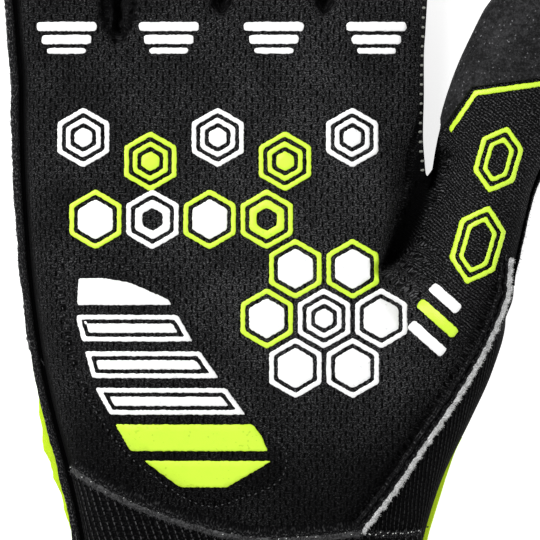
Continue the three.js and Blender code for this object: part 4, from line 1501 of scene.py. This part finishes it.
def printed(name, shapes, look, slot, corner=0.5):
    verts, faces = [], []
    for outline, holes in shapes:
        loops = []
        for corners, inward in [(outline, 1)] + [(hole, -1) for hole in holes]:
            loop = rounded(np.asarray(corners, float), corner, grip["step"])
            spin = np.roll(loop, -1, axis=0) - np.roll(loop, 1, axis=0)
            spin /= np.linalg.norm(spin, axis=1)[:, None]
            area = np.sum(loop[:, 0] * np.roll(loop[:, 1], -1) - loop[:, 1] * np.roll(loop[:, 0], -1))
            normal = np.stack([-spin[:, 1], spin[:, 0]], 1) * (1 if area > 0 else -1) * inward
            ragged = np.array([gripRandom.uniform(-1, 1) for _ in loop]) * grip["ragged"]
            edge = loop + normal * ragged[:, None]
            loops.append((edge, edge + normal * grip["bevel"]))
        top = [p for _, inner in loops for p in inner]
        edges, base = [], 0
        for _, inner in loops:
            n = len(inner)
            edges += [(base + i, base + (i + 1) % n) for i in range(n)]
            base += n
        low, high = loops[0][1].min(axis=0), loops[0][1].max(axis=0)
        g = grip["grid"]
        gx, gy = np.meshgrid(np.arange(low[0] + g / 2, high[0], g), np.arange(low[1] + g / 2, high[1], g))
        spots = np.stack([gx.ravel(), gy.ravel()], 1)
        if len(spots):
            keep = insidePolygon(spots, loops[0][1])
            for k, (_, inner) in enumerate(loops):
                if k:
                    keep &= ~insidePolygon(spots, inner)
                d, _, _ = pathDistance(spots, np.vstack([inner, inner[:1]]))
                keep &= d > 0.5
            top += list(spots[keep])
        cdt = geometry.delaunay_2d_cdt([Vector(p) for p in top], edges, [], 0, 1e-5)
        points = np.array([tuple(v) for v in cdt[0]])
        triangles = np.array([tuple(f) for f in cdt[2] if len(f) == 3])
        centres = points[triangles].mean(axis=1)
        keep = insidePolygon(centres, loops[0][1])
        for _, inner in loops[1:]:
            keep &= ~insidePolygon(centres, inner)
        triangles = triangles[keep]
        if len(points) != len(top):
            print("print outline crosses itself:", name, len(points), len(top))
        ground = [surfaceAt(x, y) for x, y in points]
        start, count = len(verts), len(points)
        verts += [(x, y, z + grip["rise"]) for (x, y), z in zip(points, ground)]
        verts += [(x, y, z - grip["sink"]) for (x, y), z in zip(points, ground)]
        for a, b, c in triangles:
            p, q, r = points[a], points[b], points[c]
            if (q[0] - p[0]) * (r[1] - p[1]) - (q[1] - p[1]) * (r[0] - p[0]) < 0:
                b, c = c, b
            faces.append((start + a, start + b, start + c))
            faces.append((start + count + a, start + count + c, start + count + b))
        base = start
        for edge, inner in loops:
            n = len(edge)
            side = len(verts)
            ground = [surfaceAt(x, y) for x, y in edge]
            verts += [(x, y, z + grip["rise"] * 0.62) for (x, y), z in zip(edge, ground)]
            verts += [(x, y, z - grip["sink"]) for (x, y), z in zip(edge, ground)]
            for i in range(n):
                j = (i + 1) % n
                faces.append((base + i, base + j, side + j, side + i))
                faces.append((side + i, side + j, side + n + j, side + n + i))
                faces.append((side + n + i, side + n + j, base + count + j, base + count + i))
            base += n
    obj = meshObject(name, verts, faces)
    faceOutwards(obj.data)
    shadeSmooth(obj, 60)
    return dress(obj, look)


def ring(corners, width, drawnIn=0.0):
    outline = inset(corners, drawnIn) if drawnIn else corners
    return outline, [inset(outline, width)]


white, yellow = ("whiteSilicone", "white_silicone"), ("yellowSilicone", "yellow_silicone")
line, space = grip["line"], grip["space"]

hexPrint = {
    "thenarCentre": (25.4, -12.0),
    "pitch": 14.2,
    "flats": 13.0,
    "knuckleX": (-0.68, 0.33),
    "knuckleY": (0.5, 0.09),
}
middle = hexPrint["thenarCentre"]
spots = [middle]
spots += [
    (middle[0] + hexPrint["pitch"] * math.cos(math.radians(60 * k)), middle[1] + hexPrint["pitch"] * math.sin(math.radians(60 * k)))
    for k in range(6)
]
for k, spot in enumerate(spots):
    tile = hexagon(spot, hexPrint["flats"])
    rimColour = yellow if k in (2, 3, 4) else white
    rim = [ring(tile, line)]
    core = [(inset(tile, line + space), [])]
    if k == 0:
        core = [ring(tile, line, line + space), (inset(tile, 2 * (line + space)), [])]
    if rimColour is white:
        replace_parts(printed("thenar_print_" + str(k), rim + core, *white), "thenar_grip_" + str(k))
    else:
        printed("thenar_rim_" + str(k), rim, *yellow)
        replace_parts(printed("thenar_print_" + str(k), core, *white), "thenar_grip_" + str(k))
for k in range(5):
    spot = (
        (hexPrint["knuckleX"][0] + hexPrint["knuckleX"][1] * k) * halfPalm,
        (hexPrint["knuckleY"][0] - hexPrint["knuckleY"][1] * (k % 2)) * hand["crotchReach"],
    )
    tile = hexagon(spot, hexPrint["flats"])
    colour = yellow if k % 2 else white
    shapes = [ring(tile, line), ring(tile, line, line + space), (inset(tile, 2 * (line + space)), [])]
    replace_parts(printed("knuckle_print_" + str(k + 1), shapes, *colour), "knuckle_grip_" + str(k + 1))

for k in range(4):
    spot = (middle[0] - hexPrint["pitch"] * (k + 1), middle[1] + 2 * hexPrint["pitch"] * math.sin(math.radians(60)))
    tile = hexagon(spot, hexPrint["flats"])
    if k % 2:
        printed("palm_rim_" + str(k + 1), [ring(tile, line)], *yellow)
        printed("palm_print_" + str(k + 1), [(inset(tile, line + space), [])], *white)
    else:
        printed("palm_print_" + str(k + 1), [ring(tile, line), ring(tile, line * 1.6, line + space)], *(white if k else yellow))
for k, (x, y, width) in enumerate(((55.5, -7.0, 9.0), (53.6, -12.0, 12.0), (51.0, -17.0, 11.0))):
    printed("thumb_root_print_" + str(k + 1), [(pill((x, y), width, 2.7, -42), [])], *(yellow if k == 1 else white), corner=0.7)

pillPrint = {"y": 0.88, "width": 15.0, "heights": (2.3, 2.3, 1.5), "spacing": 0.95}
for finger in fingers:
    spot = pointOn(finger, pillPrint["y"] * hand["crotchReach"])
    top = spot[1] + 3.9
    shapes = []
    for k, height in enumerate(pillPrint["heights"]):
        shapes.append((pill((spot[0], top - height / 2), pillPrint["width"] - 2.6 * k, height), []))
        top -= height + pillPrint["spacing"]
    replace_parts(printed("finger_print_" + finger, shapes, *white, corner=0.9), "finger_grip_" + finger)

heelPrint = {"bars": 6, "height": 6.6, "pitch": 9.05, "firstTop": -0.02}
heelArea = atShares([
    (-0.7, -0.01), (-0.45, -0.03), (-0.26, -0.07), (-0.14, -0.17), (0.02, -0.28), (0.2, -0.4),
    (0.25, -0.46), (-0.02, -0.53), (-0.2, -0.52), (-0.45, -0.43), (-0.62, -0.28), (-0.71, -0.12),
])


def band(polygon, low, high):  # the part of a polygon between two heights
    for level, sign in ((low, 1), (high, -1)):
        kept = []
        for a, b in zip(polygon, np.roll(polygon, -1, axis=0)):
            da, db = (a[1] - level) * sign, (b[1] - level) * sign
            if da >= 0:
                kept.append(a)
            if (da > 0) != (db > 0) and da != db:
                kept.append(a + (b - a) * da / (da - db))
        polygon = np.array(kept)
    clean = [polygon[0]]
    for p in polygon[1:]:
        if np.linalg.norm(p - clean[-1]) > 0.8:
            clean.append(p)
    if np.linalg.norm(clean[0] - clean[-1]) < 0.8:
        clean.pop()
    return np.array(clean)


for k in range(heelPrint["bars"]):
    top = yAt(heelPrint["firstTop"]) - heelPrint["pitch"] * k
    bar = band(heelArea, top - heelPrint["height"], top)
    colour = yellow if k >= 4 else white
    if k in (0, 4, 5):
        shapes = [(bar, [])]
    else:
        shapes = [ring(bar, line), (inset(bar, line + space), [])]
    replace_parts(printed("heel_print_" + str(k + 1), shapes, *colour), "heel_grip_" + str(k + 1))


def thumbAt(along, aside):
    return thumbRoot + np.array([aside * hand["thumbWidth"], along * hand["thumbLength"]])


thumbPrint = {
    "spots": ((0.26, 0.42, 11.76, 1.5), (0.5, 0.6, 10.64, 1.4)),
    "turn": -16.0,
    "line": (0.685, 0.70),
}
for k, (along, aside, flats, stretch) in enumerate(thumbPrint["spots"]):
    tile = hexagon(thumbAt(along, aside), flats, thumbPrint["turn"], stretch)
    shapes = [ring(tile, line), ring(tile, line * 0.9, line + space)]
    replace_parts(printed("thumb_print_" + str(k + 1), shapes, *yellow), "thumb_grip_" + str(k + 1))
(a, b), (_, c) = patchCut["lines"]
below = np.array([0.5, -1.0])
trim = np.array([a, b, (79.0, 47.7)]) + (0.3, -0.9)
trimLow = trim + (0.5, -1.25)
strip = np.vstack([trim, trimLow[::-1]])
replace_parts(printed("thumb_print_line", [(strip, [])], *yellow, corner=0.3), "thumb_grip_line")
print("silicone print done")


# raw seam by the gusset and the seam along the palm's foot


def layAlong(name, path, profile, sway=None, riseAt=None, shades=None):  # a profile swept over the palm's surface
    n = len(profile)
    step = np.gradient(path, axis=0)
    step /= np.linalg.norm(step, axis=1)[:, None]
    out = np.stack([-step[:, 1], step[:, 0]], 1)
    verts, faces, uvs, s = [], [], [], 0.0
    for i, (p, o) in enumerate(zip(path, out)):
        if i:
            s += np.linalg.norm(path[i] - path[i - 1])
        shift = sway(s) if sway else 0.0
        lift = riseAt(s) if riseAt else 0.0
        middle = surfaceAt(*p)
        for across, up in profile:
            x, y = p + o * (across + shift)
            z = min(max(surfaceAt(x, y), middle - 0.9), middle + 1.6)
            verts.append((x, y, z + up + (lift if up > 0.3 else 0)))
            uvs.append((s * mm, (across + up) * mm))
    for i in range(len(path) - 1):
        for k in range(n):
            a, b = i * n + k, i * n + (k + 1) % n
            faces.append((a, b, b + n, a + n))
    faces.append(tuple(reversed(range(n))))
    faces.append(tuple(range(len(verts) - n, len(verts))))
    obj = meshObject(name, verts, faces)
    layer = obj.data.uv_layers.new(name="cloth")
    for loop in obj.data.loops:
        layer.data[loop.index].uv = uvs[loop.vertex_index]
    faceOutwards(obj.data)
    openness(obj, shades, n, len(path))
    shadeSmooth(obj, 50)
    return obj


gussetEdge = {
    "strip": 2.7,
    "height": 1.5,
    "rawWidth": 1.1,
    "rawHeight": 1.3,
}
rawPath = np.array([(min(x - 0.3, rightEdge(y) - 1.3 - 0.5 * smoothStep(-16.0, -8.0, y)), y) for x, y in gussetSeam if y < 3.5])
rawPath = resampled(soften(resampled(rawPath, 1.0), 3), 0.5)
w, h = gussetEdge["strip"], gussetEdge["height"]
strip = layAlong(
    "gusset_seam_strip",
    rawPath,
    [(-0.1, -0.3), (-0.1, h * 0.5), (0.15, h * 0.85), (0.5, h), (0.95, h * 0.82), (1.2, h * 0.5), (1.45, h * 0.82), (1.9, h * 0.95), (w - 0.4, h * 0.8), (w, h * 0.3), (w, -0.3)],
    wobbly(81, 0.1),
    wobbly(82, 0.12, 3.0),
    # painted shade, darkest in the groove along the strip's middle
    [0.6, 0.9, 0.9, 0.7, 0.2, 0.0, 0.2, 0.6, 0.6, 0.4, 0.1],
)
dress(strip, "edgeFabric")
r, t = gussetEdge["rawWidth"], gussetEdge["rawHeight"]
rag = wobbly(84, 0.09, 0.9)
drift = wobbly(85, 0.16, 3.5)
raw = layAlong(
    "gusset_raw_edge",
    rawPath,
    [(0.2, -0.2), (0.2, t * 0.9), (-0.15, t), (-r * 0.7, t * 0.9), (-r, t * 0.45), (-r, -0.2)],
    lambda s: rag(s) + drift(s),
    wobbly(83, 0.12, 1.3),
)
dress(raw, "rawFoam")

footSeam = {"width": 1.5, "height": 1.5, "right": [(35.2, -65.4), (40.0, -65.8), (45.0, -65.9), (49.6, -65.5)]}
footPath = resampled(
    np.array([p for p in palmSeam if p[0] > -between(palmYs, palmSides[0], p[1]) * halfPalm + 0.2]), 0.5
)
w, h = footSeam["width"], footSeam["height"]
fold = layAlong(
    "foot_seam_fold",
    footPath,
    [(-0.3, -0.3), (-0.35, h * 0.4), (-0.1, h * 0.75), (0.4, h), (w - 0.2, h * 0.85), (w + 0.9, h * 0.35), (w + 1.5, 0.05), (w + 1.5, -0.3)],
    wobbly(86, 0.12),
    wobbly(87, 0.1, 3.0),
    [0.6, 0.8, 0.9, 0.7, 0.45, 0.2, 0.08, 0.05],
)
dress(fold, "edgeFabric")
rag, drift = wobbly(88, 0.06, 0.8), wobbly(89, 0.12, 3.0)
rawFoot = layAlong(
    "foot_raw_edge",
    footPath,
    [(0.5, -0.2), (0.45, h * 0.7), (0.1, h * 0.95), (-0.4, h * 0.95), (-0.9, h * 0.7), (-1.25, h * 0.3), (-1.3, -0.2)],
    lambda s: rag(s) + drift(s),
    wobbly(90, 0.16, 1.5),
)
dress(rawFoot, "seamFoam")
besideFoot = layAlong(
    "foot_raw_edge_side",
    curveThrough(footSeam["right"], 0.5),
    [(0.7, -0.2), (0.6, 0.5), (0.1, 0.8), (-0.6, 0.55), (-0.7, -0.2)],
    wobbly(91, 0.12, 2.0),
    wobbly(92, 0.12, 1.4),
)
dress(besideFoot, "backFabric")
print("raw seams done")


# stitches along paths and loose fibres on raw edges, by Geometry Nodes


class Grower(Maker):  # builds one geometry tree with named inputs
    def __init__(self, name, inputs):
        self.tree = bpy.data.node_groups.new(name, "GeometryNodeTree")
        face = self.tree.interface
        face.new_socket("Geometry", in_out="INPUT", socket_type="NodeSocketGeometry")
        face.new_socket("Geometry", in_out="OUTPUT", socket_type="NodeSocketGeometry")
        self.ids = {}
        for key, kind in inputs.items():
            socket = face.new_socket(key, in_out="INPUT", socket_type="NodeSocket" + kind)
            self.ids[key] = socket.identifier
        self.start = self.tree.nodes.new("NodeGroupInput")

    def given(self, key):
        return Wire(self, self.start.outputs[key])

    def randomVector(self, reach, seed):
        settings = {"data_type": "FLOAT_VECTOR"}
        return self.node("FunctionNodeRandomValue", settings, {0: tuple(-r for r in reach), 1: reach, "Seed": seed})

    def deliver(self, instances):
        real = self.node("GeometryNodeRealizeInstances", None, {0: instances})
        dressed = self.node("GeometryNodeSetMaterial", None, {"Geometry": real, "Material": self.given("Material")})
        end = self.tree.nodes.new("NodeGroupOutput")
        self.tree.links.new(dressed.socket, end.inputs[0])


def growOn(obj, grower, values):  # runs a tree once and keeps the plain mesh
    modifier = obj.modifiers.new("grown", "NODES")
    modifier.node_group = grower.tree
    for key, value in values.items():
        modifier[grower.ids[key]] = value
    return applied(obj)


def stitchTree():
    g = Grower("stitches", {"Pitch": "Float", "Length": "Float", "Thickness": "Float", "Turn": "Float", "Jitter": "Float", "Seed": "Int", "Material": "Material"})
    curve = g.node("GeometryNodeMeshToCurve", None, {0: g.given("Geometry")})
    even = g.node("GeometryNodeResampleCurve", {"mode": "LENGTH"}, {"Curve": curve, "Length": g.given("Pitch")})
    ball = g.node("GeometryNodeMeshUVSphere", None, {"Segments": 6, "Rings": 5, "Radius": 0.5})
    size = g.node("ShaderNodeCombineXYZ", None, {0: g.given("Length"), 1: g.given("Thickness"), 2: g.given("Thickness")})
    turn = g.node("ShaderNodeCombineXYZ", None, {2: g.given("Turn")})
    stitch = g.node("GeometryNodeTransform", None, {"Geometry": ball, "Rotation": turn, "Scale": size})
    tangent = g.node("GeometryNodeInputTangent")
    facing = g.node("FunctionNodeAlignRotationToVector", {"axis": "X"}, {"Vector": tangent})
    shake = g.randomVector((0.12, 0.12, 0.16), g.given("Seed"))
    turned = g.node("FunctionNodeRotateRotation", {"rotation_space": "LOCAL"}, {"Rotation": facing, "Rotate By": shake})
    drift = g.node("ShaderNodeVectorMath", {"operation": "SCALE"}, {0: g.randomVector((1, 1, 0.3), 5), "Scale": g.given("Jitter")})
    moved = g.node("GeometryNodeSetPosition", None, {"Geometry": even, "Offset": drift})
    g.deliver(g.node("GeometryNodeInstanceOnPoints", None, {"Points": moved, "Instance": stitch, "Rotation": turned}))
    return g


def fuzzTree():
    g = Grower("fuzz", {"Density": "Float", "Length": "Float", "Thickness": "Float", "Seed": "Int", "Material": "Material"})
    spread = {"Mesh": g.given("Geometry"), "Density": g.given("Density"), "Seed": g.given("Seed")}
    points = g.node("GeometryNodeDistributePointsOnFaces", {"distribute_method": "RANDOM"}, spread)
    lean = Wire(g, points.socket.node.outputs["Rotation"])
    arc = {"Resolution": 4, "Start": (0, 0, -0.1), "Middle": (0.05, 0, 0.6), "End": (0.5, 0.1, 0.85)}
    hair = g.node("GeometryNodeCurveQuadraticBezier", None, arc)
    sized = g.node("GeometryNodeTransform", None, {"Geometry": hair, "Scale": g.node("ShaderNodeCombineXYZ", None, {k: g.given("Length") for k in range(3)})})
    rim = g.node("GeometryNodeCurvePrimitiveCircle", None, {"Resolution": 3, "Radius": g.given("Thickness") * 0.5})
    fibre = g.node("GeometryNodeCurveToMesh", None, {"Curve": sized, "Profile Curve": rim, "Fill Caps": True})
    shake = g.randomVector((0.9, 0.9, 3.1), 7)
    turned = g.node("FunctionNodeRotateRotation", {"rotation_space": "LOCAL"}, {"Rotation": lean, "Rotate By": shake})
    grow = g.node("FunctionNodeRandomValue", {"data_type": "FLOAT"}, {2: 0.45, 3: 1.25, "Seed": 9}, 1)
    g.deliver(g.node("GeometryNodeInstanceOnPoints", None, {"Points": points, "Instance": fibre, "Rotation": turned, "Scale": grow}))
    return g


stitches, fuzz = stitchTree(), fuzzTree()


def sewn(name, points, look, pitch, length, thickness, turn=0.0, jitter=0.04, seed=1):
    path = meshObject(name, points, [])
    path.data.edges.add(len(points) - 1)
    path.data.edges.foreach_set("vertices", [k for i in range(len(points) - 1) for k in (i, i + 1)])
    growOn(path, stitches, {"Pitch": pitch * mm, "Length": length * mm, "Thickness": thickness * mm, "Turn": turn, "Jitter": jitter * mm, "Seed": seed, "Material": looks[look]})
    path.data.shade_smooth()
    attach(path, "root")
    return path


def fuzzy(source, name, look, density, length, thickness, seed):
    hairs = copyOf(source, name)
    growOn(hairs, fuzz, {"Density": density * 1e6, "Length": length * mm, "Thickness": thickness * mm, "Seed": seed, "Material": looks[look]})
    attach(hairs, "root")
    return hairs


def onPalm(path, lift):
    return [(x, y, surfaceAt(x, y) + lift) for x, y in path]


def beside(path, across):
    return path + leftOf(path) * across


sewn("heel_stitches", onPalm(heelPath, 0.12), "greyThread", 1.75, 0.62, 0.28, jitter=0.16, seed=3)
for name, path in sidePaths.items():
    lane = beside(path[4:-8] if name != "little_side" else path[:-8], 0.3)
    points = [(x, y, edgeHeight(x, y) + 0.2) for x, y in lane]
    # stitches in the seam's groove, in thread painted dark as shade
    sewn("seam_stitches_" + name, points, "shadedThread", 2.3, 1.9, 0.34, seed=4)
sewn("gusset_stitches", onPalm(beside(rawPath, 1.2), 0.72), "blackThread", 2.3, 1.9, 0.34, seed=6)
ticks = resampled(np.array([(50.4, 25.0), (49.7, 34.0), (49.8, 45.0), (50.1, 56.0), (50.5, 68.0)]), 0.5)
sewn("index_side_ticks", onPalm(ticks, 0.1), "tickThread", 2.3, 1.3, 0.75, math.pi / 2, 0.1, seed=8)

# tack in the crease, in thread painted dark as shade
sewn("thumb_crotch_tack", onPalm(resampled(np.array([(49.8, 22.5), (52.9, 22.5)]), 0.3), -0.05), "shadedThread", 0.45, 1.5, 0.5, math.pi / 2, seed=9)
sewn("foot_tufts", onPalm(beside(footPath, -0.1), 1.35), "paleThread", 2.3, 0.45, 0.24, 0.8, 0.5, seed=15)
sewn("foot_specks", onPalm(beside(footPath, -0.2), 1.3), "greyThread", 0.8, 0.5, 0.24, 0.8, 0.6, seed=19)
sewn("foot_tufts_side", onPalm(curveThrough(footSeam["right"], 0.5), 0.85), "paleThread", 1.0, 0.45, 0.26, 0.8, 0.45, seed=16)
tack = np.array([(49.6, -64.9), (51.6, -64.5)])
sewn("wrist_side_tack", [(x, y, hand["seamHeight"] + 0.4) for x, y in tack], "blackThread", 0.7, 0.8, 0.4, seed=17)

fuzzy(raw, "gusset_raw_fuzz", "paleThread", 7.0, 0.5, 0.09, 12)
fuzzy(rawFoot, "foot_raw_fuzz", "greyThread", 3.0, 0.6, 0.08, 13)
fuzzy(besideFoot, "foot_raw_fuzz_side", "greyThread", 4.0, 0.5, 0.08, 18)
for name in ("little_side", "thumb_side"):
    edge = bpy.data.objects["raw_edge_" + name]
    fuzzy(edge, "raw_fuzz_" + name, "greyThread", 2.2, 0.75, 0.08, 14)
print("stitches and fibres done")


# camera, light and floor

view = {
    "pixelsPerMm": 4.0,
    "centre": (12.0, 0.0),
    "lens": 320.0,
    "plane": 16.0,
}
span = 540 / view["pixelsPerMm"] * mm
camera = bpy.data.objects.new("camera", bpy.data.cameras.new("camera"))
camera.data.lens = view["lens"]
camera.data.sensor_width = 36.0
camera.location = (
    view["centre"][0] * mm,
    view["centre"][1] * mm,
    view["plane"] * mm + span * view["lens"] / 36.0,
)
bpy.context.scene.collection.objects.link(camera)
bpy.context.scene.camera = camera

studio = {
    "world": 0.62,
    "key": 5.2,
    "keySize": 0.5,
    "fill": 3.5,
    "fillSize": 1.2,
}
world = bpy.data.worlds.new("studio")
world.use_nodes = True
world.node_tree.nodes["Background"].inputs[0].default_value = (1, 1, 1, 1)
world.node_tree.nodes["Background"].inputs[1].default_value = studio["world"]
bpy.context.scene.world = world


def areaLight(name, place, size, power):
    data = bpy.data.lights.new(name, "AREA")
    data.shape = "DISK"
    data.size = size
    data.energy = power
    obj = bpy.data.objects.new(name, data)
    obj.location = place
    obj.rotation_euler = (Vector((0, 0, 0)) - Vector(place)).to_track_quat("-Z", "Y").to_euler()
    bpy.context.scene.collection.objects.link(obj)


areaLight("key", (-0.38, 0.36, 0.55), studio["keySize"], studio["key"])
areaLight("fill", (0.9, -0.5, 1.0), studio["fillSize"], studio["fill"])

floor = meshObject("floor", [(-4000, -4000, -0.4), (4000, -4000, -0.4), (4000, 4000, -0.4), (-4000, 4000, -0.4)], [(0, 1, 2, 3)])
m = Maker("paleFloor")
floor.data.materials.append(m.finish((0.6, 0.6, 0.6), 0.9, Emission_Color=(1, 1, 1, 1), Emission_Strength=0.78))
bpy.context.scene.view_settings.view_transform = "Standard"
